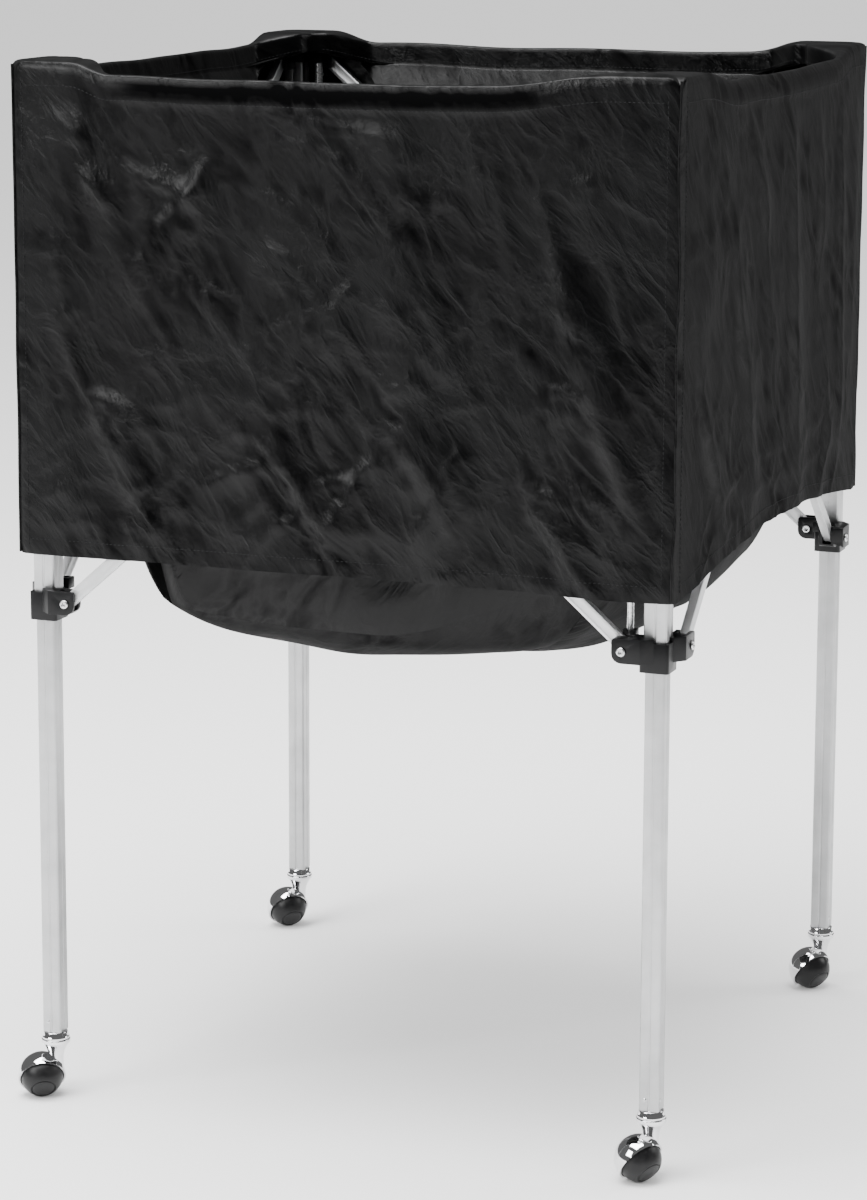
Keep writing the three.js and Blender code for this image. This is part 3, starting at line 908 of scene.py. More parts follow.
class PathTrees:
    """The trees for stitches, piping and small round heads."""

    def __init__(self) -> None:
        """Builds the three trees."""
        self.stitches = self._stitches()
        self.piping = self._piping()
        self.heads = self._heads()

    @staticmethod
    def _stitches() -> TreeBuilder:
        """Builds the tree that lays one stitch at every pitch along a path.

        Returns:
            The tree.
        """
        build = TreeBuilder("stitches", {"Pitch": 4 * MM, "Length": 2.7 * MM, "Width": 0.8 * MM})
        curve = build.add("GeometryNodeMeshToCurve", links={"Mesh": build.size("Path")})
        points = build.add("GeometryNodeCurveToPoints", {"mode": "LENGTH"},
                           {"Curve": curve, "Length": build.size("Pitch")}, "Points")
        bead = build.add("GeometryNodeMeshUVSphere",
                         links={"Segments": 6, "Rings": 4, "Radius": 0.5})
        scale = build.add("ShaderNodeCombineXYZ",
                          links={"X": build.size("Width"), "Y": build.size("Width"),
                                 "Z": build.size("Length")})
        placed = build.add("GeometryNodeInstanceOnPoints",
                           links={"Points": points, "Instance": bead,
                                  "Rotation": points.node.outputs["Rotation"], "Scale": scale})
        return build.finish(placed)

    @staticmethod
    def _piping() -> TreeBuilder:
        """Builds the tree that sweeps a round cord along a path.

        Returns:
            The tree.
        """
        build = TreeBuilder("piping", {"Radius": 1.5 * MM})
        curve = build.add("GeometryNodeMeshToCurve", links={"Mesh": build.size("Path")})
        ring = build.add("GeometryNodeCurvePrimitiveCircle",
                         links={"Resolution": 10, "Radius": build.size("Radius")})
        swept = build.add("GeometryNodeCurveToMesh",
                          links={"Curve": curve, "Profile Curve": ring, "Fill Caps": True})
        soft = build.add("GeometryNodeSetShadeSmooth", links={"Geometry": swept})
        return build.finish(soft)

    @staticmethod
    def _heads() -> TreeBuilder:
        """Builds the tree that sets a low round head on every point, as the point faces.

        Returns:
            The tree.
        """
        build = TreeBuilder("heads", {"Radius": 2 * MM, "Height": 0.8 * MM})
        rim = build.add("GeometryNodeMeshCone",
                        links={"Vertices": 24, "Side Segments": 3, "Fill Segments": 2,
                               "Radius Top": 0.62, "Radius Bottom": 1.0, "Depth": 0.6})
        crown = build.add("GeometryNodeMeshCone",
                          links={"Vertices": 24, "Side Segments": 1, "Fill Segments": 2,
                                 "Radius Top": 0.3, "Radius Bottom": 0.62, "Depth": 0.4})
        lifted = build.add("GeometryNodeTransform",
                           links={"Geometry": crown, "Translation": (0.0, 0.0, 0.6)})
        head = build.add("GeometryNodeJoinGeometry", links={"Geometry": rim})
        build.tree.links.new(lifted, head.node.inputs["Geometry"])
        scale = build.add("ShaderNodeCombineXYZ",
                          links={"X": build.size("Radius"), "Y": build.size("Radius"),
                                 "Z": build.size("Height")})
        normal = build.add("GeometryNodeInputNamedAttribute", {"data_type": "FLOAT_VECTOR"},
                           {"Name": "facing"})
        turn = build.add("FunctionNodeAlignRotationToVector", {"axis": "Z"}, {"Vector": normal})
        placed = build.add("GeometryNodeInstanceOnPoints",
                           links={"Points": build.size("Path"), "Instance": head,
                                  "Rotation": turn, "Scale": scale})
        return build.finish(placed)


def path_object(name: str, paths: Sequence[np.ndarray]) -> bpy.types.Object:
    """Makes an object of open chains of edges.

    Args:
        name: The object's name.
        paths: Each an array of points, in metres.

    Returns:
        The object.
    """
    points: list[tuple[float, ...]] = []
    edges: list[tuple[int, int]] = []
    for path in paths:
        first = len(points)
        points += [tuple(p) for p in path]
        edges += [(first + k, first + k + 1) for k in range(len(path) - 1)]
    mesh = bpy.data.meshes.new(name)
    mesh.from_pydata(points, edges, [])
    return new_object(name, mesh)


def seats_object(name: str, seats: Sequence[tuple[Vector, Vector]]) -> bpy.types.Object:
    """Makes an object of lone points, each with the direction that it faces.

    Args:
        name: The object's name.
        seats: Pairs of a point and a direction.

    Returns:
        The object.
    """
    mesh = bpy.data.meshes.new(name)
    mesh.from_pydata([tuple(middle) for middle, _ in seats], [], [])
    facing = mesh.attributes.new("facing", "FLOAT_VECTOR", "POINT")
    for index, (_, away) in enumerate(seats):
        facing.data[index].vector = away
    return new_object(name, mesh)


# Cloth


def step_up(value: np.ndarray | float, low: float, high: float) -> np.ndarray | float:
    """Returns 0 below low, 1 above high and a smooth climb between."""
    t = np.clip((value - low) / (high - low), 0.0, 1.0)
    return t * t * (3.0 - 2.0 * t)


def arch(x: np.ndarray, wide: float) -> np.ndarray:
    """Returns 0 at both ends of a side and 1 in its middle, as a sine."""
    return np.sin(math.pi * np.clip(x / wide, 0, 1))


def bent(y: np.ndarray | float, near: np.ndarray, turn: float) -> np.ndarray:
    """Returns how far in a row runs, with its ends bent to the corner's radius, turn."""
    corner = np.clip(y + turn - near, 0.0, turn)
    return y + turn - np.sqrt(np.maximum(turn ** 2 - corner ** 2, 0.0))


class Ripple:
    """Smooth seeded noise on a plane, made of waves of about one length."""

    WAVES = 28

    def __init__(self, seed: int, length: float,
                 stretch: tuple[float, float] = (1.0, 1.0)) -> None:
        """Draws the waves.

        Args:
            seed: Fixes the draw.
            length: Their length, in metres.
            stretch: How much longer they are along each axis.
        """
        draw = np.random.default_rng(seed)
        angle = draw.uniform(0.0, 2 * math.pi, self.WAVES)
        rate = 2 * math.pi / (length * draw.uniform(0.6, 1.7, self.WAVES))
        self.across = rate * np.cos(angle) / stretch[0]
        self.down = rate * np.sin(angle) / stretch[1]
        self.phase = draw.uniform(0.0, 2 * math.pi, self.WAVES)
        self.share = math.sqrt(2.0 / self.WAVES)

    def at(self, a: np.ndarray, b: np.ndarray) -> np.ndarray:
        """Works out the noise.

        Args:
            a: Places along the first axis.
            b: Places along the second axis.

        Returns:
            The noise at each place, mostly between -2 and 2.
        """
        total = np.zeros(np.broadcast(a, b).shape)
        for kx, ky, phase in zip(self.across, self.down, self.phase):
            total += np.sin(kx * a + ky * b + phase)
        return total * self.share

    def along(self, a: np.ndarray) -> np.ndarray:
        """Returns the noise at places a of one line."""
        return self.at(a, np.zeros_like(a))


@dataclass(frozen=True)
class Fold:
    """A crease through places given as shares of a panel, across and down.

    Its width and height are in metres, and sharp is the share of the width on its steep side.
    """

    path: tuple[tuple[float, float], ...]
    width: float
    height: float
    sharp: float = 0.35

    def lift(self, across: np.ndarray, down: np.ndarray, wide: float, tall: float) -> np.ndarray:
        """Works out how far the crease lifts the cloth.

        Args:
            across: Places across the panel, in metres from its left edge.
            down: Places down the panel, in metres from its top.
            wide: The panel's width.
            tall: The panel's height.

        Returns:
            The lift at each place, in metres.
        """
        chain = [np.array((a * wide, b * tall)) for a, b in self.path]
        lengths = [float(np.linalg.norm(q - p)) for p, q in zip(chain, chain[1:])]
        whole, done = sum(lengths), 0.0
        best = np.full(np.broadcast(across, down).shape, 9.0)
        lift = np.zeros_like(best)
        for start, end, length in zip(chain, chain[1:], lengths):
            way = (end - start) / length
            along = (across - start[0]) * way[0] + (down - start[1]) * way[1]
            off = (across - start[0]) * -way[1] + (down - start[1]) * way[0]
            beyond = np.maximum(np.maximum(-along, along - length), 0.0)
            near = np.hypot(off, beyond)
            t = np.clip((done + np.clip(along, 0.0, length)) / whole, 0.0, 1.0)
            ends = np.sin(math.pi * np.clip(0.06 + 0.88 * t, 0.0, 1.0)) ** 0.7
            reach = np.where(off < 0.0, self.width, self.width * self.sharp)
            shape = np.exp(-(np.abs(off) / reach) ** 1.35) * np.exp(-(beyond / self.width) ** 2)
            lift = np.where(near < best, self.height * ends * shape, lift)
            best = np.minimum(best, near)
            done += length
        return lift


# Sub-assemblies


@dataclass
class Finishes:
    """One material for each finish of the cart."""

    leg: bpy.types.Material = field(default_factory=lambda: DrawnAluminium().build())
    arm: bpy.types.Material = field(default_factory=lambda: DrawnAluminium(
        "arm_aluminium", (0.66, 0.665, 0.67), (0.58, 0.585, 0.59), 0, 700.0, 30.0,
        (0.48, 0.62)).build())
    zinc: bpy.types.Material = field(default_factory=lambda: ZincSteel().build())
    chrome: bpy.types.Material = field(default_factory=lambda: BrightChrome().build())
    moulding: bpy.types.Material = field(default_factory=lambda: SatinMoulding().build())
    wheel: bpy.types.Material = field(default_factory=lambda: WheelPlastic().build())
    nylon: bpy.types.Material = field(default_factory=lambda: WovenNylon().build())
    thread: bpy.types.Material = field(default_factory=lambda: SewingThread().build())


@dataclass
class Casters:
    """The four ball casters: stem with its crown, swivel ring, hood, barrel and wheel."""

    frame: CartFrame
    finishes: Finishes
    sides: int = 64
    trail: float = 14 * MM
    middle: float = 20.304 * MM
    wheel_radius: float = 20.3 * MM
    face_start: float = 39.0
    face_lip: float = 0.7 * MM
    face_middle: float = 17.6 * MM
    back_start: float = 92.0
    hood_inside: float = 21.2 * MM
    hood_outside: float = 22.7 * MM
    hood_edge: float = -3.0 * MM
    hood_clear: float = 2.6 * MM
    barrel_radius: float = 7.0 * MM
    ring_radius: float = 13.8 * MM
    ring_bottom: float = 52.6 * MM
    ring_top: float = 56.9 * MM
    crown_bottom: float = 57.2 * MM
    crown_top: float = 64.2 * MM
    crown_radius: float = 13.2 * MM
    crown_top_radius: float = 11.2 * MM
    stem_radius: float = 4.0 * MM
    stem_bottom: float = 45.0 * MM
    axle_radius: float = 3.0 * MM
    axle_end: float = 9.0 * MM
    play: float = 0.3 * MM
    hard_edge: float = 32.0

    def _ball_place(self, tilt: float) -> Matrix:
        """Returns the ball's own frame, with Z along the axle towards the flat face."""
        return (Matrix.Translation((self.trail, 0.0, self.middle))
                @ Matrix.Rotation(-tilt - math.pi / 2, 4, "X"))

    def _arc(self, radius: float, start: float, end: float, steps: int = 26) -> Profile:
        """Returns points on a circle round the ball's middle, by angle from the axle."""
        angles = [math.radians(start + (end - start) * k / steps) for k in range(steps + 1)]
        return [(radius * math.sin(a), radius * math.cos(a)) for a in angles]

    def _wheel(self, place: Matrix) -> bpy.types.Object:
        """Builds the wheel, with its lipped flat face and its bore.

        Args:
            place: The ball's own frame.

        Returns:
            The wheel of a caster at the origin.
        """
        bore, reach = self.axle_radius + self.play, self.axle_end + self.play
        arc = self._arc(self.wheel_radius, self.back_start, self.face_start)
        edge, level = arc[-1]
        lip = self.face_lip
        face = [
            (edge - lip * 0.7, level + lip * 0.5),
            (edge - lip * 1.9, level + lip * 0.45),
            (edge - lip * 2.3, level - lip * 0.5),
            (edge - lip * 2.9, level - lip * 0.5),
            (edge - lip * 3.4, level + lip * 0.75),
            (edge * 0.62, level + (self.face_middle - level) * 0.72),
            (edge * 0.3, level + (self.face_middle - level) * 0.95),
            (0.0, self.face_middle),
        ]
        profile = [(0.0, reach), (bore, reach), (bore, arc[0][1]), *arc, *face]
        return lathe("wheel", rounded(profile, 0.35 * MM, 2), self.sides, place)

    def _hood(self, place: Matrix) -> bpy.types.Object:
        """Builds the hood: a cup behind the ball, a barrel up to the ring, and the axle.

        Args:
            place: The ball's own frame.

        Returns:
            The hood of a caster at the origin.
        """
        rim = math.degrees(math.acos(-self.hood_edge / self.hood_outside))
        inner = math.degrees(math.acos(-self.hood_edge / self.hood_inside))
        cup = lathe("cup", [*self._arc(self.hood_outside, 180.0, rim),
                            *self._arc(self.hood_inside, inner, 180.0)], self.sides, place)
        ground = lathe("ground", [(0.0, -20 * MM), (90 * MM, -20 * MM),
                                  (90 * MM, self.hood_clear), (0.0, self.hood_clear)], 24)
        combine(cup, ground, "DIFFERENCE")
        r, top = self.barrel_radius, self.ring_bottom
        barrel = lathe("barrel", rounded([
            (0.0, self.middle - 4 * MM), (r, self.middle - 4 * MM), (r, top - 13 * MM),
            (r + 1.2 * MM, top - 8 * MM), (r + 3.6 * MM, top - 3.4 * MM),
            (self.ring_radius - 1.3 * MM, top - 0.6 * MM),
            (self.ring_radius - 1.3 * MM, top + 1 * MM), (0.0, top + 1 * MM),
        ], 2.5 * MM), self.sides)
        ball = lathe("ball", self._arc(self.hood_inside + self.play, 180.0, 0.0, 30), self.sides,
                     place)
        behind = lathe("behind", [(0.0, -60 * MM), (60 * MM, -60 * MM),
                                  (60 * MM, -self.hood_edge), (0.0, -self.hood_edge)], 24, place)
        combine(barrel, ball, "DIFFERENCE")
        combine(barrel, behind, "INTERSECT")
        ring = lathe("ring", rounded([
            (0.0, self.ring_bottom), (self.ring_radius, self.ring_bottom),
            (self.ring_radius, self.ring_top), (0.0, self.ring_top),
        ], 1.1 * MM, 4), self.sides)
        axle = lathe("axle", [
            (0.0, -self.hood_inside - 0.7 * MM), (self.axle_radius, -self.hood_inside - 0.7 * MM),
            (self.axle_radius, self.axle_end), (0.0, self.axle_end),
        ], 24, place)
        hole, floor = self.stem_radius + self.play, self.stem_bottom - self.play
        well = lathe("well", [(0.0, floor), (hole, floor), (hole, self.ring_top + 2 * MM),
                              (0.0, self.ring_top + 2 * MM)], 32)
        for part in (barrel, ring, axle):
            combine(cup, part, "UNION")
        combine(cup, well, "DIFFERENCE")
        return cup

    def _stem(self) -> bpy.types.Object:
        """Builds the stem with its stepped, crowned collar and its plug.

        Returns:
            The stem of a caster at the origin.
        """
        top, low = self.crown_top, self.crown_bottom
        plug = self.crown_top_radius * 0.76
        return lathe("stem", rounded([
            (0.0, self.stem_bottom), (self.stem_radius, self.stem_bottom),
            (self.stem_radius, low), (self.crown_radius, low),
            (self.crown_radius, low + 1.7 * MM),
            (self.crown_radius - 0.6 * MM, low + 2.6 * MM),
            (self.crown_top_radius + 0.6 * MM, top - 1.6 * MM),
            (self.crown_top_radius, top - 0.1 * MM),
            (plug, top - 0.1 * MM), (plug * 0.85, top + 20 * MM), (0.0, top + 20 * MM),
        ], 0.6 * MM), self.sides)

    def build(self) -> None:
        """Builds one caster and sets a copy of each piece under every leg."""
        _, axis = self.frame.axle(0)
        place = self._ball_place(math.asin(-axis.z))
        made = [
            ("stem", self._stem(), "lower", "caster_stem", Slot.CHROME, self.finishes.chrome),
            ("hood", self._hood(place), "hood", "caster_hood", Slot.CHROME, self.finishes.chrome),
            ("wheel", self._wheel(place), "wheel", "caster_wheel", Slot.WHEEL,
             self.finishes.wheel),
        ]
        for name, pattern, body, node, slot, finish in made:
            smooth(pattern, self.hard_edge)
            for index, corner in enumerate(CORNERS):
                copy = new_object(f"{name}_{corner.value}_shown", pattern.data.copy())
                copy.data.transform(self.frame.caster(index))
                hang(copy, f"{body}_{corner.value}", finish, [f"{node}_{corner.value}"])
            bpy.data.objects.remove(pattern)


@dataclass
class FoldingFrame:
    """Legs, collars, brackets, arms, bolts and struts."""

    frame: CartFrame
    finishes: Finishes
    trees: PathTrees
    strut_sides: int = 28
    rod_radius: float = 3.1 * MM
    strut_radius: float = 4.3 * MM
    strut_play: float = 0.3 * MM
    bolt_sides: int = 32
    bolt_radius: float = 2.5 * MM
    head_radius: float = 4.2 * MM
    head_height: float = 2.0 * MM
    flare_radius: float = 3.9 * MM
    flare_height: float = 1.2 * MM
    bore_radius: float = 1.75 * MM
    bore_depth: float = 2.6 * MM
    tail_depth: float = 3.0 * MM
    bore_lip: tuple[float, float] = (0.45 * MM, 0.5 * MM)
    head_bevel: float = 0.9 * MM
    head_sink: float = 0.05 * MM
    rivet_radius: float = 1.9 * MM
    rivet_height: float = 0.7 * MM
    rivet_rise: float = 10.0 * MM
    rivet_aside: float = 3.4 * MM
    screw_radius: float = 2.4 * MM
    screw_height: float = 1.0 * MM
    screw_drops: tuple[float, float] = (20.0 * MM, 32.0 * MM)

    def _edge_all(self) -> None:
        """Gives tubes, arms and mouldings slightly rounded edges and their finish."""
        kinds = [
            ("lower_tube", CORNERS, Slot.ALUMINIUM, self.finishes.leg, 0.22 * MM),
            ("upper_tube", CORNERS, Slot.ALUMINIUM, self.finishes.leg, 0.22 * MM),
            ("collar", CORNERS, Slot.MOULDING, self.finishes.moulding, 0.45 * MM),
            ("top_bracket", CORNERS, Slot.MOULDING, self.finishes.moulding, 0.45 * MM),
            ("arm_outer", SIDES, Slot.ALUMINIUM, self.finishes.arm, 0.5 * MM),
            ("arm_inner", SIDES, Slot.ALUMINIUM, self.finishes.arm, 0.5 * MM),
        ]
        for kind, places, slot, finish, width in kinds:
            for place in places:
                node = f"{kind}_{place.value}"
                made = edged(self.frame.node(node), node + "_shown", width)
                hang(made, self.frame.body_of(node), finish, [node])

    def _long_axis(self, node: str) -> tuple[Matrix, float]:
        """Works out how a bolt lies.

        Args:
            node: The bolt's node.

        Returns:
            Its frame, with Z from its head inwards, and its length.
        """
        low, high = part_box(node)
        size, middle = high - low, (low + high) / 2
        axis = 0 if size.x > size.y else 1
        inward = -1.0 if middle[axis] > 0 else 1.0
        start = middle.copy()
        start[axis] -= inward * size[axis] / 2
        way = Vector((0.0, 0.0, 0.0))
        way[axis] = inward
        turn = way.to_track_quat("Z", "Y").to_matrix().to_4x4()
        return Matrix.Translation(start) @ turn, size[axis]

    def _plated(self, made: bpy.types.Object, body: str, replaced: Sequence[str] = ()) -> None:
        """Smooths a zinc-plated piece and hangs it on its body."""
        smooth(made)
        hang(made, body, self.finishes.zinc, replaced)

    def _bolt(self, node: str) -> None:
        """Builds one tubular bolt.

        Args:
            node: The node that it stands for.
        """
        place, length = self._long_axis(node)
        flare, tail = length - self.flare_height, length - self.tail_depth
        lip, lip_depth = self.bore_lip
        profile = [
            (0.0, self.bore_depth), (self.bore_radius, self.bore_depth),
            (self.bore_radius, lip_depth), (self.bore_radius + lip, self.head_sink),
            (self.head_radius - self.head_bevel, self.head_sink),
            (self.head_radius, self.head_bevel), (self.head_radius, self.head_height),
            (self.bolt_radius, self.head_height), (self.bolt_radius, flare),
            (self.flare_radius, flare), (self.flare_radius, length),
            (self.bore_radius, length), (self.bore_radius, tail), (0.0, tail),
        ]
        made = lathe(node + "_shown", rounded(profile, 0.35 * MM, 2), self.bolt_sides, place)
        self._plated(made, self.frame.body_of(node), [node])

    def _bolts(self) -> None:
        """Builds the collars' bolts and the bolts where the arms cross."""
        for corner in CORNERS:
            for which in "ab":
                self._bolt(f"collar_bolt_{which}_{corner.value}")
        for side in SIDES:
            self._bolt("cross_bolt_" + side.value)

    def _struts(self) -> None:
        """Builds the thin telescoping struts, rod and tube."""
        for corner in (Corner.FRONT_RIGHT, Corner.REAR_LEFT):
            for kind, radius in (("strut_rod", self.rod_radius),
                                 ("strut_tube", self.strut_radius)):
                node = f"{kind}_{corner.value}"
                low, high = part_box(node)
                middle = (low + high) / 2
                height, bore = high.z - low.z, self.rod_radius + self.strut_play
                outline = [(0.0, 0.0), (radius, 0.0), (radius, height), (0.0, height)]
                if kind == "strut_tube":
                    outline = [(0.0, height - 2 * MM), (bore, height - 2 * MM), (bore, 0.0),
                               (radius, 0.0), (radius, height), (0.0, height)]
                made = lathe(node + "_shown", rounded(outline, 0.4 * MM), self.strut_sides,
                             Matrix.Translation((middle.x, middle.y, low.z)))
                self._plated(made, self.frame.body_of(node), [node])

    def _heads(self) -> None:
        """Sets a rivet low on each leg and two screws at the top of each strut."""
        for index, corner in enumerate(CORNERS):
            low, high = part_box("lower_tube_" + corner.value)
            half = (high.x - low.x) / 2
            leg = self.frame.legs[index]
            seats = []
            for turn in (0, 1):
                away = Matrix.Rotation((index - turn) * math.pi / 2, 3, "Z") @ Vector((0, -1, 0))
                side = Vector((0, 0, 1)).cross(away)
                seats.append((leg + away * half - side * self.rivet_aside
                              + Vector((0, 0, low.z + self.rivet_rise)), away))
            made = seats_object(f"leg_rivets_{corner.value}", seats)
            self.trees.heads.run(made, self.finishes.zinc, Radius=self.rivet_radius,
                                 Height=self.rivet_height)
            self._plated(made, f"lower_{corner.value}")
        for corner in (Corner.FRONT_RIGHT, Corner.REAR_LEFT):
            index = CORNERS.index(corner)
            low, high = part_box("strut_tube_" + corner.value)
            inward = Matrix.Rotation(index * math.pi / 2, 3, "Z") @ Vector((0, 1, 0))
            middle, reach = (low + high) / 2, (high - low).x / 2
            seats = [(Vector((middle.x, middle.y, high.z - drop)) + inward * reach, inward)
                     for drop in self.screw_drops]
            made = seats_object(f"strut_screws_{corner.value}", seats)
            self.trees.heads.run(made, self.finishes.zinc, Radius=self.screw_radius,
                                 Height=self.screw_height)
            self._plated(made, f"upper_{corner.value}")

    def build(self) -> None:
        """Builds every piece of the folding frame."""
        self._edge_all()
        self._bolts()
        self._struts()
        self._heads()


@dataclass(frozen=True)
class HopperSizes:
    """Sizes of the cloth hopper, from each side's line of legs: inwards is positive.

    A row of four values goes round the cart: by side from the front one, or by corner from
    the front left one.
    """

    face: float = -21.4 * MM
    taper: float = 0.6 * MM
    skirt_bottom: float = 530.0 * MM
    skirt_arch: tuple[float, ...] = (1.5 * MM, 24.0 * MM, 9.0 * MM, 12.0 * MM)
    bellies: tuple[float, ...] = (6.0 * MM, 34.0 * MM, 8.0 * MM, 19.0 * MM)
    belly_from: tuple[float, float] = (0.3, 0.82)
    wall_frees: tuple[float, float] = (0.0, 0.25)
    wall_held: tuple[float, float] = (0.86, 0.995)
    wall_lifts: tuple[float, float, float] = (1.8 * MM, 2.6 * MM, 0.9 * MM)
    rim_top: float = 973.0 * MM
    rim_sag: float = 1.5 * MM
    corner_top: float = 985.0 * MM
    corner_inner: float = 24.4 * MM
    rim_inner: float = -15.0 * MM
    casing: float = 22.0 * MM
    rim_round: float = 3.0 * MM
    corner_flat: float = 38.0 * MM
    corner_fade: tuple[float, ...] = (80.0 * MM, 150.0 * MM, 95.0 * MM, 85.0 * MM)
    corner_drop: float = 12.0 * MM
    corner_hook: tuple[float, float] = (-9.0 * MM, 11.0 * MM)
    bracket_reach: float = 80.0 * MM
    rim_wave: float = 0.5 * MM
    ledge: tuple[float, float] = (1.0 * MM, 1.5 * MM)
    wall_shoulder: tuple[float, float] = (0.6 * MM, 893.0 * MM)
    wall_bottom: tuple[float, float] = (77.0 * MM, 463.0 * MM)
    seam_sag: float = 5.0 * MM
    seam_start: float = 10.0 * MM
    floor_middle: float = 409.0 * MM
    corner_lifts: tuple[float, ...] = (6 * MM, 52 * MM, 9 * MM, 20 * MM)
    corner_reaches: tuple[float, ...] = (120 * MM, 210 * MM, 150 * MM, 150 * MM)
    band: float = 17.0 * MM
    # Per side, how strongly the band just under the rim is painted as dark shade
    band_shade_shares: tuple[float, ...] = (1.0, 0.3, 0.6, 0.4)
    band_depth: float = 2.4 * MM
    band_return: float = 9.0 * MM
    band_start: tuple[float, float] = (55.0 * MM, 110.0 * MM)
    band_end: tuple[float, float] = (465.0 * MM, 520.0 * MM)
    held_beside: tuple[float, float] = (2.0 * MM, 60.0 * MM)
    free_below: tuple[float, float] = (20.0 * MM, 70.0 * MM)
    broad_wave: float = 210.0 * MM
    broad_lift: float = 2.2 * MM
    fine_wave: float = 75.0 * MM
    fine_lift: float = 0.8 * MM
    twist_wave: float = 120.0 * MM
    ridge_wave: float = 85.0 * MM
    ridge_lift: float = 2.2 * MM
    streak_wave: float = 60.0 * MM
    streak_slant: float = 58.0
    streak_lifts: tuple[float, ...] = (2.4 * MM, 1.0 * MM, 1.0 * MM, 1.0 * MM)
    fold_gain: float = 1.5
    lift_base: float = 0.4 * MM
    lift_soft: float = 1.6 * MM
    lift_limit: float = 11.5 * MM
    seam_pull: float = 1.5 * MM
    curl_height: float = 9.0 * MM
    curl_depth: float = 1.6 * MM
    window: tuple[tuple[float, float], ...] = (
        (58 * MM, 966 * MM), (110 * MM, 898 * MM), (25 * MM, 790 * MM))
    outer_round: float = 9.0 * MM
    inner_round: float = 16.0 * MM
    pouch_round: float = 34.0 * MM
    cloth: float = 1.1 * MM
    columns: int = 132


FRONT_FOLDS = (
    Fold(((0.815, 0.19), (0.87, 0.45), (0.93, 0.68), (0.985, 0.84)), 0.018, 0.0065, 0.3),
    Fold(((0.83, 0.18), (0.90, 0.37), (0.96, 0.52)), 0.010, -0.0035, 0.8),
    Fold(((0.905, 0.63), (0.945, 0.74), (0.975, 0.86)), 0.012, 0.005, 0.4),
    Fold(((0.02, 0.06), (0.06, 0.10), (0.10, 0.135)), 0.014, 0.004, 0.4),
    Fold(((0.08, 0.19), (0.11, 0.23), (0.13, 0.28)), 0.014, 0.0045, 0.4),
    Fold(((0.02, 0.47), (0.09, 0.66), (0.19, 0.90)), 0.020, 0.0055, 0.35),
    Fold(((0.10, 0.62), (0.15, 0.72), (0.17, 0.83)), 0.016, 0.004, 0.4),
    Fold(((0.41, 0.07), (0.50, 0.095), (0.60, 0.115)), 0.012, 0.0035, 0.3),
    Fold(((0.18, 0.20), (0.23, 0.225), (0.28, 0.26)), 0.012, 0.0035, 0.3),
    Fold(((0.30, 0.15), (0.26, 0.24), (0.20, 0.33)), 0.014, 0.0035, 0.4),
    Fold(((0.60, 0.70), (0.66, 0.80), (0.70, 0.92)), 0.014, 0.005, 0.35),
    Fold(((0.70, 0.72), (0.67, 0.82), (0.62, 0.95)), 0.014, 0.0045, 0.35),
    Fold(((0.38, 0.72), (0.44, 0.82), (0.50, 0.93)), 0.016, 0.0045, 0.35),
    Fold(((0.56, 0.74), (0.52, 0.84), (0.47, 0.96)), 0.014, 0.004, 0.35),
    Fold(((0.24, 0.86), (0.34, 0.80), (0.42, 0.78)), 0.012, 0.0035, 0.4),
    Fold(((0.75, 0.20), (0.78, 0.36), (0.80, 0.55)), 0.014, 0.003, 0.5),
    Fold(((0.02, 0.30), (0.05, 0.42), (0.06, 0.55)), 0.014, 0.0035, 0.5),
    Fold(((0.80, 0.80), (0.86, 0.90), (0.90, 0.97)), 0.012, 0.0045, 0.4),
)

RIGHT_FOLDS = (
    Fold(((0.10, 0.06), (0.22, 0.30), (0.30, 0.62), (0.34, 0.95)), 0.026, 0.005, 0.5),
    Fold(((0.30, 0.04), (0.40, 0.28), (0.44, 0.60)), 0.024, 0.0045, 0.5),
    Fold(((0.50, 0.03), (0.56, 0.24), (0.57, 0.55), (0.60, 0.90)), 0.028, 0.0055, 0.45),
    Fold(((0.70, 0.05), (0.74, 0.26), (0.72, 0.62)), 0.024, 0.0045, 0.5),
    Fold(((0.86, 0.05), (0.84, 0.40), (0.88, 0.80)), 0.022, 0.005, 0.45),
    Fold(((0.04, 0.50), (0.10, 0.72), (0.20, 0.93)), 0.022, 0.0045, 0.4),
    Fold(((0.45, 0.72), (0.52, 0.84), (0.62, 0.95)), 0.018, 0.004, 0.4),
    Fold(((0.78, 0.70), (0.80, 0.84), (0.74, 0.96)), 0.018, 0.004, 0.4),
    Fold(((0.16, 0.84), (0.26, 0.80), (0.36, 0.86)), 0.014, 0.0035, 0.4),
)

BACK_FOLDS = (
    Fold(((0.06, 0.08), (0.16, 0.34), (0.20, 0.70)), 0.024, 0.005, 0.45),
    Fold(((0.30, 0.10), (0.38, 0.32), (0.48, 0.52)), 0.018, 0.005, 0.35),
    Fold(((0.62, 0.12), (0.56, 0.38), (0.46, 0.62)), 0.020, 0.0045, 0.4),
    Fold(((0.92, 0.10), (0.84, 0.36), (0.78, 0.72)), 0.024, 0.005, 0.4),
    Fold(((0.22, 0.72), (0.32, 0.84), (0.42, 0.95)), 0.016, 0.0045, 0.4),
    Fold(((0.68, 0.74), (0.60, 0.86), (0.52, 0.95)), 0.016, 0.0045, 0.4),
    Fold(((0.42, 0.08), (0.52, 0.11), (0.62, 0.10)), 0.012, 0.0035, 0.3),
    Fold(((0.82, 0.80), (0.88, 0.88), (0.96, 0.92)), 0.014, 0.004, 0.4),
)

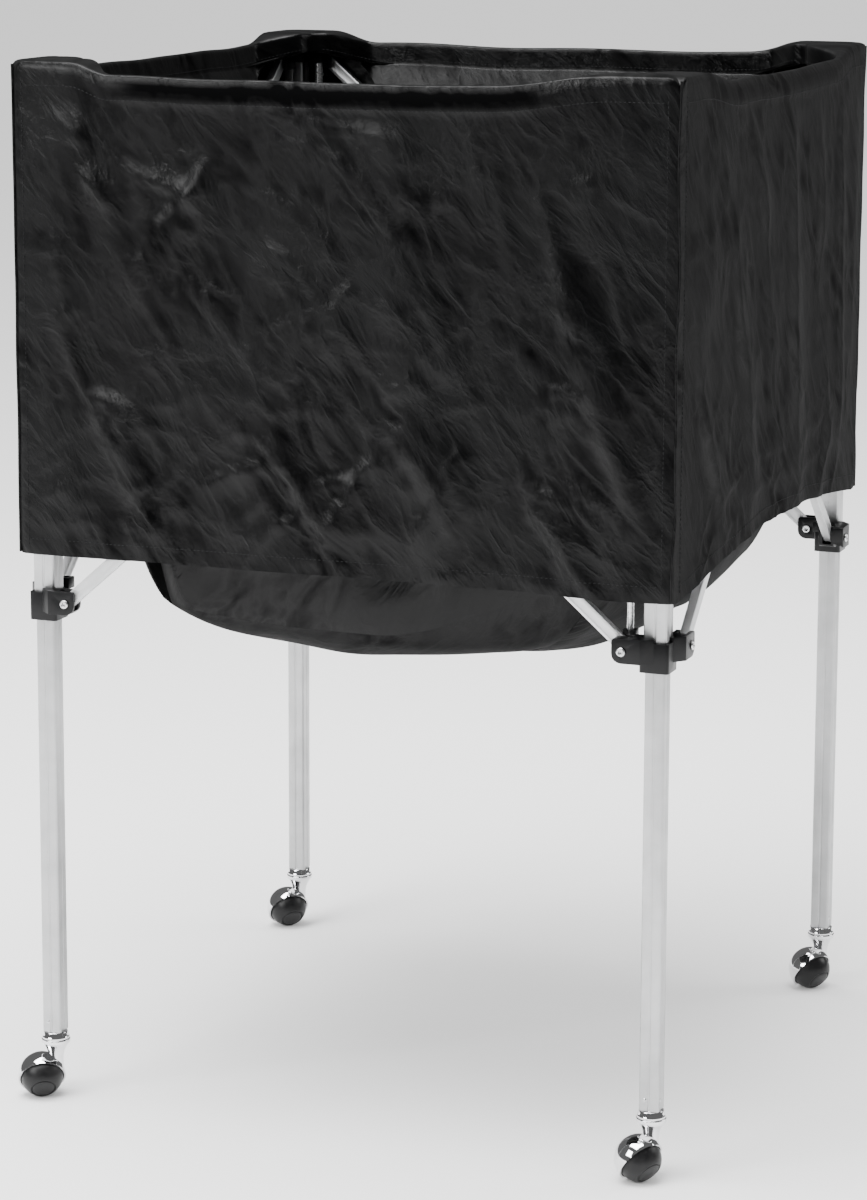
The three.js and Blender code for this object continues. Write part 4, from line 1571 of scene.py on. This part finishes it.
LEFT_FOLDS = (
    Fold(((0.12, 0.10), (0.18, 0.40), (0.26, 0.74)), 0.026, 0.005, 0.45),
    Fold(((0.36, 0.06), (0.34, 0.34), (0.42, 0.66)), 0.022, 0.0045, 0.45),
    Fold(((0.58, 0.08), (0.62, 0.36), (0.56, 0.68)), 0.024, 0.005, 0.45),
    Fold(((0.80, 0.06), (0.86, 0.30), (0.94, 0.52)), 0.018, 0.0055, 0.35),
    Fold(((0.66, 0.70), (0.74, 0.82), (0.86, 0.94)), 0.016, 0.0045, 0.4),
    Fold(((0.10, 0.78), (0.20, 0.86), (0.30, 0.95)), 0.016, 0.0045, 0.4),
    Fold(((0.46, 0.80), (0.52, 0.90), (0.50, 0.97)), 0.014, 0.004, 0.4),
)


def bottom_edge(sizes: HopperSizes, index: int, x: np.ndarray, wide: float) -> np.ndarray:
    """Returns the height of the seam under a wall, which rises to the pouch's corners.

    Args:
        sizes: The hopper's sizes.
        index: The side.
        x: Places along the side.
        wide: The side's length.

    Returns:
        The height at each place.
    """
    height = np.full_like(x, sizes.wall_bottom[1])
    for corner, away in ((index, x), ((index + 1) % 4, wide - x)):
        start = sizes.wall_bottom[0] + sizes.seam_start
        fade = step_up(away, start, start + sizes.corner_reaches[corner])
        height = height + sizes.corner_lifts[corner] * (1 - fade)
    return height - sizes.seam_sag * arch(x, wide) ** 2


def skirt_face(sizes: HopperSizes, share: float) -> float:
    """Returns the skirt's place, inwards, at a share of its height from its lower edge."""
    return sizes.face + sizes.taper * (1 - min(max(share, 0.0), 1.0) ** 1.5)


@dataclass
class HopperSide:
    """One side of the hopper, from its skirt over the rim and down the basket's wall."""

    frame: CartFrame
    sizes: HopperSizes
    index: int
    folds: tuple[Fold, ...]
    wide: float = field(init=False)
    rows: list[tuple[Zone, float]] = field(init=False)

    def __post_init__(self) -> None:
        """Lists the rows of the cloth, each a zone and a share of the way along it."""
        self.wide = self.frame.spacing
        self.rows = [(zone, (k + (0.5 if zone in HALF_STEPPED else 0.0)) / count)
                     for zone, count in ZONE_ROWS.items() for k in range(count)]
        self.rows.append((Zone.WALL, 1.0))

    def _near(self, x: np.ndarray) -> np.ndarray:
        """Returns each place's distance from the nearer leg, along the side."""
        return np.minimum(x, self.wide - x)

    def _raised(self, x: np.ndarray) -> np.ndarray:
        """Works out where the rim is raised.

        Args:
            x: Places along the side.

        Returns:
            A share for each place: 1 over the legs and 0 along the open rim.
        """
        fades = self.sizes.corner_fade
        first, last = fades[self.index], fades[(self.index + 1) % 4]
        near_first = step_up(x, self.sizes.corner_flat, first)
        near_last = step_up(self.wide - x, self.sizes.corner_flat, last)
        return 1.0 - np.minimum(near_first, near_last)

    def _over_bracket(self, x: np.ndarray) -> np.ndarray:
        """Returns 1 where the casing hangs behind a bracket and 0 along the open rim."""
        return 1.0 - step_up(self._near(x), self.sizes.corner_flat, self.sizes.bracket_reach)

    def _top(self, x: np.ndarray) -> np.ndarray:
        """Works out the height of the rim.

        Args:
            x: Places along the side.

        Returns:
            The height at each place.
        """
        sizes = self.sizes
        sag = sizes.rim_sag * arch(x, self.wide)
        wave = sizes.rim_wave * Ripple(RIM_SEED + self.index, 0.16).along(x)
        share = self._raised(x)
        hook, length = sizes.corner_hook
        beyond = np.clip((hook - self._near(x)) / length, 0.0, 1.0)
        over = sizes.corner_top - sizes.corner_drop * beyond ** 2
        return (sizes.rim_top - sag + wave * (1 - share)) * (1 - share) + over * share

    def _skirt_edge(self, x: np.ndarray) -> np.ndarray:
        """Works out the height of the skirt's lower edge, which is drawn up between the legs.

        Args:
            x: Places along the side.

        Returns:
            The height at each place.
        """
        drawn = arch(x, self.wide) ** 0.9
        wave = Ripple(SKIRT_EDGE_SEED + self.index, 0.13).along(x) * MM * drawn
        return self.sizes.skirt_bottom + self.sizes.skirt_arch[self.index] * drawn + wave.clip(0)

    def _inner(self, x: np.ndarray) -> np.ndarray:
        """Returns how far in the casing hangs."""
        share = self._over_bracket(x)
        return self.sizes.rim_inner * (1 - share) + self.sizes.corner_inner * share

    def _window_edge(self, height: float) -> float:
        """Works out how wide the corner window is.

        Args:
            height: The height of a row of the wall.

        Returns:
            How far the window reaches from the leg's line, along the side.
        """
        (x0, z0), (x1, z1), (x2, z2) = self.sizes.window
        if height >= z1:
            return x1 + (x0 - x1) * min((height - z1) / (z0 - z1), 1.3)
        return x1 + (x2 - x1) * min((z1 - height) / (z1 - z2), 1.0)

    def _section(self, zone: Zone, t: float,
                 x: np.ndarray) -> tuple[np.ndarray, np.ndarray, float]:
        """Works out one row, before its corners are rounded.

        Args:
            zone: The row's zone.
            t: The share of the way along the zone.
            x: Places along the side.

        Returns:
            How far in and how high each place is, and the corner's radius.
        """
        sizes = self.sizes
        top, inner = self._top(x), self._inner(x)
        low = top - sizes.casing
        r, tight = sizes.rim_round, sizes.inner_round
        if zone is Zone.SKIRT:
            low_edge = self._skirt_edge(x)
            height = low_edge + t * (top - r - low_edge)
            return np.full_like(x, skirt_face(sizes, t)), height, sizes.outer_round
        if zone is Zone.OVER:
            angle = math.pi * (1 - t)
            half, level = (inner - sizes.face) / 2, math.cos(angle)
            lift = math.sin(angle) ** 0.8
            y = sizes.face + half + half * math.copysign(abs(level) ** 0.7, level)
            return y, top - r + r * lift, sizes.outer_round + (tight - sizes.outer_round) * t
        if zone is Zone.CASING:
            return inner, top - r - t * (top - r - low), tight
        shoulder, shoulder_z = sizes.wall_shoulder
        bottom, bottom_z = sizes.wall_bottom[0], bottom_edge(sizes, self.index, x, self.wide)
        share, at_corner = self._over_bracket(x), sizes.corner_inner
        ledge_out, ledge_down = sizes.ledge
        if zone is Zone.LEDGE:
            return inner + ledge_out * (1 - share) * t, low - ledge_down * t, tight
        start = low - ledge_down
        height = start + t * (bottom_z - start)
        depth = (start - height) / (start - bottom_z)
        knee = (start - shoulder_z) / (start - bottom_z)
        y_start = inner + ledge_out
        upper = y_start + (shoulder - y_start) * np.clip(depth / knee, 0, 1)
        lower = shoulder + (bottom - shoulder) * np.clip((depth - knee) / (1 - knee), 0, 1)
        y = np.where(depth < knee, upper, lower)
        y_corner = at_corner + (bottom - at_corner) * depth
        y = y * (1 - share) + y_corner * share
        return y, height, tight + (sizes.pouch_round - tight) * float(np.clip(t * 2.2, 0, 1))

    def _start(self, zone: Zone, t: float) -> float:
        """Returns where a row starts, along the side.

        Args:
            zone: The row's zone.
            t: The share of the way along the zone.

        Returns:
            The distance from the leg's line; negative is beyond it.
        """
        here = np.array([0.0])
        for _ in range(6):
            y, _height, turn = self._section(zone, t, here)
            here = y + turn * ROUND_SHARE
        start = float(here[0])
        if zone in (Zone.LEDGE, Zone.WALL):
            middle = self._section(zone, t, np.array([100 * MM]))[1][0]
            if middle > self.sizes.window[2][1]:
                start = max(start, self._window_edge(float(middle)))
        return start

    def _crumple(self, x: np.ndarray, down: np.ndarray, tall: float) -> np.ndarray:
        """Works out the small crumples of the skirt, which gather towards its lower edge.

        Args:
            x: Places along the side.
            down: Places down the skirt, from the rim.
            tall: The skirt's height.

        Returns:
            How far each place is lifted.
        """
        sizes, seed = self.sizes, CRUMPLE_SEED + 10 * self.index
        broad = Ripple(seed, sizes.broad_wave, stretch=(1.0, 1.8)).at(x, down)
        fine = Ripple(seed + 1, sizes.fine_wave, stretch=(1.0, 1.5)).at(x, down)
        twist = Ripple(seed + 2, sizes.twist_wave).at(x, down)
        ridges = 1.0 - np.abs(Ripple(seed + 3, sizes.ridge_wave).at(x + 20 * MM * twist, down))
        gather = 0.45 + 0.75 * step_up(down / tall, 0.45, 0.95)
        slant = math.radians(sizes.streak_slant)
        along = x * math.cos(slant) + down * math.sin(slant) + 12 * MM * twist
        aside = down * math.cos(slant) - x * math.sin(slant) + 10 * MM * broad
        streaks = Ripple(seed + 4, sizes.streak_wave, stretch=(3.4, 0.9)).at(along, aside)
        ridge_lift = sizes.ridge_lift * np.maximum(ridges, 0.0) ** 2 * gather
        streak_lift = sizes.streak_lifts[self.index] * np.maximum(1.0 - np.abs(streaks), 0) ** 2
        return sizes.broad_lift * broad + sizes.fine_lift * fine + ridge_lift + streak_lift

    def _hang_skirt(self, x: np.ndarray, y: np.ndarray, height: np.ndarray,
                    hold: np.ndarray) -> tuple[np.ndarray, np.ndarray]:
        """Gives one row of the skirt its folds, its band under the rim and its curled edge.

        Args:
            x: Places along the side.
            y: How far in each place is.
            height: How high each place is.
            hold: 0 where the corner's seam holds the cloth and 1 where it hangs free.

        Returns:
            How far in each place is now, and how much painted shade of the dark band under the rim
            it carries.
        """
        sizes = self.sizes
        tall, down = sizes.rim_top - sizes.skirt_bottom, sizes.rim_top - height
        lift = self._crumple(x, down, tall)
        for fold in self.folds:
            lift = lift + sizes.fold_gain * fold.lift(x, down, self.wide, tall)
        free = 0.12 + 0.88 * step_up(down, *sizes.free_below)
        lift = sizes.lift_base + lift * free * (0.02 + 0.98 * hold)
        soft, limit = sizes.lift_soft, sizes.lift_limit
        lift = soft * np.log1p(np.exp(lift / soft)) - sizes.seam_pull * (1 - hold)
        y = y - limit * np.tanh(lift / limit)
        below, band = self._top(x) - height, sizes.band
        lean = np.clip(below / band, 0.0, 1.0) * (
            1 - step_up(below, band, band + sizes.band_return))
        between = step_up(x, *sizes.band_start) * (1 - step_up(x, *sizes.band_end))
        y = y - sizes.band_depth * lean * between
        # Painted shade: how much of the dark, matt band just under the rim each place carries, by
        # side
        hem = (1 - step_up(below, band - 1 * MM, band + 3 * MM)) * (
            sizes.band_shade_shares[self.index] * between * step_up(below, 0.5 * MM, 3 * MM))
        edge = self._skirt_edge(x) + sizes.curl_height
        curl = step_up(edge - height, 0.0, sizes.curl_height)
        return y + sizes.curl_depth * curl * (1 - hold), hem

    def _hang_wall(self, t: float, x: np.ndarray, y: np.ndarray, height: np.ndarray,
                   hold: np.ndarray) -> np.ndarray:
        """Gives one row of the basket's wall its waves and its belly.

        Args:
            t: The share of the way down the wall.
            x: Places along the side.
            y: How far in each place is.
            height: How high each place is.
            hold: 0 where the corner's seam holds the cloth and 1 where it hangs free.

        Returns:
            How far in each place is now.
        """
        sizes = self.sizes
        free = step_up(t, *sizes.wall_frees) * hold * (1 - step_up(t, *sizes.wall_held))
        wave = Ripple(WALL_SEED + self.index, 0.17, stretch=(0.8, 2.0)).at(x, height)
        small = Ripple(WALL_FINE_SEED + self.index, 0.07).at(x, height)
        inwards, wave_lift, small_lift = sizes.wall_lifts
        y = y + free * (inwards + wave_lift * wave + small_lift * small)
        first, full = sizes.belly_from
        round_off = math.sqrt(1 - min(max(t - full, 0.0) / (1 - full), 1.0) ** 2)
        return y - sizes.bellies[self.index] * hold * round_off * step_up(t, first, full)

    def points(self) -> tuple[np.ndarray, np.ndarray]:
        """Works out the cloth's middle surface, in the side's own frame.

        Returns:
            Rows of points, and how much painted shade of the dark band under the rim each carries.
        """
        sizes = self.sizes
        result, painted_band_shades = [], []
        for zone, t in self.rows:
            start = self._start(zone, t)
            x = start + (self.wide - 2 * start) * np.linspace(0.0, 1.0, sizes.columns + 1)
            y, height, turn = self._section(zone, t, x)
            y, hem = bent(y, self._near(x), turn), np.zeros_like(x)
            hold = step_up(self._near(x) - sizes.face, *sizes.held_beside)
            if zone is Zone.SKIRT:
                y, hem = self._hang_skirt(x, y, height, hold)
            elif zone is Zone.WALL:
                y = self._hang_wall(t, x, y, height, hold)
            result.append(np.stack([x, y, height], axis=1))
            painted_band_shades.append(hem)
        return np.array(result), np.array(painted_band_shades)


@dataclass
class Hopper:
    """The sewn cloth hopper: four sides, four floor quarters, piping and stitches."""

    frame: CartFrame
    finishes: Finishes
    trees: PathTrees
    sizes: HopperSizes = field(default_factory=HopperSizes)
    kept: float = 0.2476
    piping_radius: float = 1.3 * MM
    stitch_pitch: float = 4.2 * MM
    stitch_length: float = 2.9 * MM
    stitch_width: float = 0.75 * MM
    stitch_proud: float = 0.15 * MM
    hem_height: float = 13.0 * MM
    floor_rows: int = 44
    floor_bias: float = 1.25
    floor_fall: tuple[float, float] = (5.5, 0.6)
    floor_turn: float = 0.62
    floor_sag: float = 3.0 * MM
    floor_wave: float = 1.3 * MM
    bodies: tuple[str, ...] = ("upper_fl", "upper_fr", "upper_rl", "upper_fl")
    flat: tuple[float, float] = (0.64, 1.0)

    def _squash(self, piece: bpy.types.Object, index: int) -> None:
        """Gives a piece its own copy of its mesh.

        Args:
            piece: The piece of side number index.
            index: The side.
        """
        axis = (1.0, 0.0, 0.0) if index % 2 == 0 else (0.0, 1.0, 0.0)
        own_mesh(piece)

    def _grid(self, name: str, rows: np.ndarray, index: int,
              painted_band_shades: np.ndarray | None = None) -> bpy.types.Object:
        """Makes one piece of cloth from rows of points.

        Args:
            name: The piece's name.
            rows: Points in the side's own frame.
            index: The side.
            painted_band_shades: How much painted shade of the dark band under the rim each point
                carries, where there is one.

        Returns:
            The cloth, with its thickness and its UV map in metres.
        """
        tall, wide, _ = rows.shape
        down = np.linalg.norm(np.diff(rows, axis=0), axis=2)
        travel = np.concatenate([np.zeros((1, wide)), np.cumsum(down, axis=0)])
        middle = travel[:, wide // 2]
        mesh = bpy.data.meshes.new(name)
        corners = [(r * wide + c, r * wide + c + 1, (r + 1) * wide + c + 1, (r + 1) * wide + c)
                   for r in range(tall - 1) for c in range(wide - 1)]
        mesh.from_pydata([tuple(p) for p in rows.reshape(-1, 3)], [], corners)
        cloth = mesh.uv_layers.new(name=CLOTH_MAP)
        for loop in mesh.loops:
            row, column = divmod(loop.vertex_index, wide)
            cloth.data[loop.index].uv = (rows[row, column, 0], middle[row])
        if painted_band_shades is not None:
            band = mesh.attributes.new(PAINTED_BAND_SHADE, "FLOAT", "POINT")
            band.data.foreach_set("value", painted_band_shades.reshape(-1).astype(np.float32))
        mesh.transform(self.frame.place(index))
        made = new_object(name, mesh)
        wall = made.modifiers.new("wall", "SOLIDIFY")
        wall.thickness, wall.offset, wall.use_rim = self.sizes.cloth, 0.0, True
        smooth(frozen(made), CLOTH_EDGE)
        return made

    def _stitches(self, name: str, lines: list[np.ndarray], index: int,
                  body: str) -> bpy.types.Object:
        """Sews stitches along lines in a side's own frame.

        Args:
            name: The piece's name.
            lines: Chains of points.
            index: The side.
            body: The body it rides on.

        Returns:
            The stitches.
        """
        made = path_object(name, lines)
        made.data.transform(self.frame.place(index))
        self.trees.stitches.run(made, self.finishes.thread, Pitch=self.stitch_pitch,
                                Length=self.stitch_length, Width=self.stitch_width)
        smooth(made, CLOTH_EDGE)
        hang(made, body, self.finishes.thread)
        self._squash(made, index)
        return made

    def _seam_lines(self, side: HopperSide, rows: np.ndarray) -> list[np.ndarray]:
        """Finds where the stitches of a side lie.

        Args:
            side: The side.
            rows: Its points.

        Returns:
            Chains of points just proud of the cloth.
        """
        proud = self.sizes.cloth / 2 + self.stitch_proud
        skirt = [k for k, (zone, _) in enumerate(side.rows) if zone is Zone.SKIRT]
        casing = [k for k, (zone, _) in enumerate(side.rows) if zone is Zone.CASING]
        heights = rows[:, rows.shape[1] // 2, 2]
        band_z = self.sizes.rim_top - self.sizes.casing
        band = min(skirt, key=lambda k: abs(heights[k] - band_z))
        hem = min(skirt, key=lambda k: abs(heights[k] - heights[0] - self.hem_height))
        lines = []
        for row, way in ((band, -1.0), (hem, -1.0), (casing[-2], 1.0)):
            line = rows[row, 3:-3].copy()
            line[:, 1] += way * proud
            lines.append(line)
        for column in (2, -3):
            line = rows[skirt[2]:skirt[-2], column].copy()
            line[:, 1] -= proud
            lines.append(line)
        return lines

    def _side(self, index: int, folds: tuple[Fold, ...]) -> None:
        """Builds one side with its stitches.

        Args:
            index: The side.
            folds: Its creases.
        """
        name = SIDES[index].value
        side = HopperSide(self.frame, self.sizes, index, folds)
        rows, painted_band_shades = side.points()
        cloth = self._grid(f"hopper_{name}", rows, index, painted_band_shades)
        body = self.bodies[index]
        sewn = self._stitches(f"stitches_{name}", self._seam_lines(side, rows), index, body)
        hang(cloth, body, self.finishes.nylon, [f"bag_{name}"])
        self._squash(cloth, index)

    def _floor(self, index: int) -> None:
        """Builds one quarter of the floor, sewn under a side's wall.

        Args:
            index: The side.
        """
        sizes, name = self.sizes, SIDES[index].value
        wide = self.frame.spacing
        start_y, middle = sizes.wall_bottom[0], wide / 2
        rate, early = self.floor_fall
        rows = []
        for k in range(self.floor_rows + 1):
            t = (k / self.floor_rows) ** self.floor_bias
            y = start_y + t * (middle - start_y)
            fall = (1 - math.exp(-t * rate)) * early + (1 - early) * t
            turn = min(sizes.pouch_round, (middle - y) * self.floor_turn)
            start = y + turn * ROUND_SHARE
            x = start + (wide - 2 * start) * np.linspace(0.0, 1.0, sizes.columns + 1)
            near = np.minimum(x, wide - x)
            inwards = bent(y, near, turn)
            edge_z = bottom_edge(sizes, index, x, wide)
            height = edge_z - (edge_z - sizes.floor_middle) * fall
            inner = np.clip((near - start) / (middle - start + 1e-6), 0, 1)
            sag = self.floor_sag * np.sin(math.pi * inner / 2) * (
                math.sin(math.pi * min(t * 1.6, 1.0)))
            free = step_up(t, 0.02, 0.3) * (1 - step_up(t, 0.7, 1.0))
            z = height - sag + self.floor_wave * free * Ripple(FLOOR_SEED, 0.15).at(x, inwards)
            z = np.maximum(z, sizes.floor_middle - 0.2 * MM)
            rows.append(np.stack([x, inwards, z], axis=1))
        cloth = self._grid(f"hopper_floor_{name}", np.array(rows), index)
        hang(cloth, f"floor_{name}", self.finishes.nylon, [f"bag_floor_{name}"])
        self._squash(cloth, index)

    def _piping(self, index: int) -> None:
        """Builds the corded seam down one corner of the skirt.

        Args:
            index: The corner.
        """
        sizes = self.sizes
        heights = np.linspace(sizes.skirt_bottom + 1 * MM, sizes.corner_top - 4 * MM, 60)
        shares = (heights - sizes.skirt_bottom) / (sizes.corner_top - sizes.skirt_bottom)
        reach = np.array([skirt_face(sizes, share) for share in shares]) + (
            sizes.outer_round * ROUND_SHARE)
        wave = Ripple(PIPING_SEED + index, 0.12).along(heights) * 0.5 * MM
        line = np.stack([reach - 0.5 * MM + wave, reach - 0.5 * MM - wave, heights], axis=1)
        made = path_object(f"piping_{CORNERS[index].value}", [line])
        made.data.transform(self.frame.place(index))
        self.trees.piping.run(made, self.finishes.nylon, Radius=self.piping_radius)
        cloth = made.data.uv_layers.new(name=CLOTH_MAP)
        for loop in made.data.loops:
            place = made.data.vertices[loop.vertex_index].co
            cloth.data[loop.index].uv = (place.x + place.y, place.z)
        hang(made, f"upper_{CORNERS[index].value}", self.finishes.nylon)

    def build(self) -> None:
        """Builds the whole hopper."""
        for index, folds in enumerate((FRONT_FOLDS, RIGHT_FOLDS, BACK_FOLDS, LEFT_FOLDS)):
            self._side(index, folds)
            self._floor(index)
            self._piping(index)


# Studio and camera


@dataclass
class Studio:
    """A pale floor, soft lights and the photograph's camera."""

    frame: CartFrame
    floor_size: float = 60.0
    floor_shade: float = 0.88
    world_light: float = 1.3
    world_gloss: float = 0.15
    world_seen: float = 1.8
    camera_reach: tuple[float, float, float] = (1.190, -3.198, 1.166)
    lens: float = 106.4
    turn: float = -20.83
    tilt: float = -9.95
    roll: float = 0.2
    shift: float = -0.1

    def _floor(self) -> None:
        """Lays the floor."""
        work = bmesh.new()
        bmesh.ops.create_grid(work, x_segments=2, y_segments=2, size=self.floor_size / 2)
        floor = from_bmesh("studio_floor", work)
        graph = ShaderGraph("studio_paper")
        cloud = graph.noise(graph.where(), 1.5, 2.0)
        low = (self.floor_shade - 0.01,) * 3
        graph.set(Base_Color=graph.blend(cloud, (self.floor_shade,) * 3, low), Roughness=0.9,
                  Specular_IOR_Level=0.1)
        floor.data.materials.append(graph.material)

    def _light(self, name: str, place: tuple[float, float, float], aim: Vector, size: float,
               power: float) -> None:
        """Hangs one soft square light.

        Args:
            name: Its name.
            place: Where it hangs.
            aim: What it points at.
            size: Its side.
            power: Its power, in watts.
        """
        light = bpy.data.lights.new(name, "AREA")
        light.shape, light.size, light.energy = "SQUARE", size, power
        made = new_object(name, light)
        made.location = place
        made.rotation_euler = (aim - Vector(place)).to_track_quat("-Z", "Y").to_euler()

    def _world(self) -> None:
        """Surrounds the studio with soft white."""
        world = bpy.data.worlds.new("studio")
        world.use_nodes = True
        bpy.context.scene.world = world
        tree = world.node_tree
        back = tree.nodes["Background"]
        back.inputs["Color"].default_value = (1, 1, 1, 1)
        seen = tree.nodes.new("ShaderNodeLightPath")
        glossy, share = (tree.nodes.new("ShaderNodeMapRange") for _ in range(2))
        glossy.inputs["To Min"].default_value = self.world_light
        glossy.inputs["To Max"].default_value = self.world_gloss
        share.inputs["To Max"].default_value = self.world_seen
        tree.links.new(seen.outputs["Is Glossy Ray"], glossy.inputs["Value"])
        tree.links.new(glossy.outputs[0], share.inputs["To Min"])
        tree.links.new(seen.outputs["Is Camera Ray"], share.inputs["Value"])
        tree.links.new(share.outputs[0], back.inputs["Strength"])

    def _camera(self) -> None:
        """Sets the camera."""
        camera = bpy.data.cameras.new("camera")
        camera.lens, camera.sensor_width, camera.sensor_fit = self.lens, 36.0, "AUTO"
        camera.shift_y = self.shift
        camera.clip_end = 200.0
        made = new_object("camera", camera)
        legs = self.frame.legs
        middle = sum(legs, Vector()) / len(legs)
        made.location = middle + Vector(self.camera_reach)
        turn, tilt = math.radians(self.turn), math.radians(self.tilt)
        ahead = Vector((math.sin(turn) * math.cos(tilt), math.cos(turn) * math.cos(tilt),
                        math.sin(tilt)))
        aimed = ahead.to_track_quat("-Z", "Y").to_matrix()
        made.rotation_euler = (
            aimed @ Matrix.Rotation(math.radians(self.roll), 3, "Z")).to_euler()
        bpy.context.scene.camera = made

    def build(self) -> None:
        """Builds the studio."""
        middle = Vector((0.0, 0.0, 0.6))
        self._floor()
        self._light("key", (-1.9, -2.9, 2.3), middle, 1.7, 120.0)
        self._light("side", (3.0, 2.2, 2.1), middle, 1.4, 45.0)
        self._light("top", (-0.4, -0.6, 4.2), middle, 3.0, 430.0)
        self._world()
        self._camera()


def main() -> None:
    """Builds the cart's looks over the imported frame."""
    logging.basicConfig(level=logging.INFO, format="%(name)s: %(message)s")
    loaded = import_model()
    frame = CartFrame(loaded)
    finishes = Finishes()
    trees = PathTrees()
    Studio(frame).build()
    Casters(frame, finishes).build()
    FoldingFrame(frame, finishes, trees).build()
    Hopper(frame, finishes, trees).build()


if __name__ == "__main__":
    main()
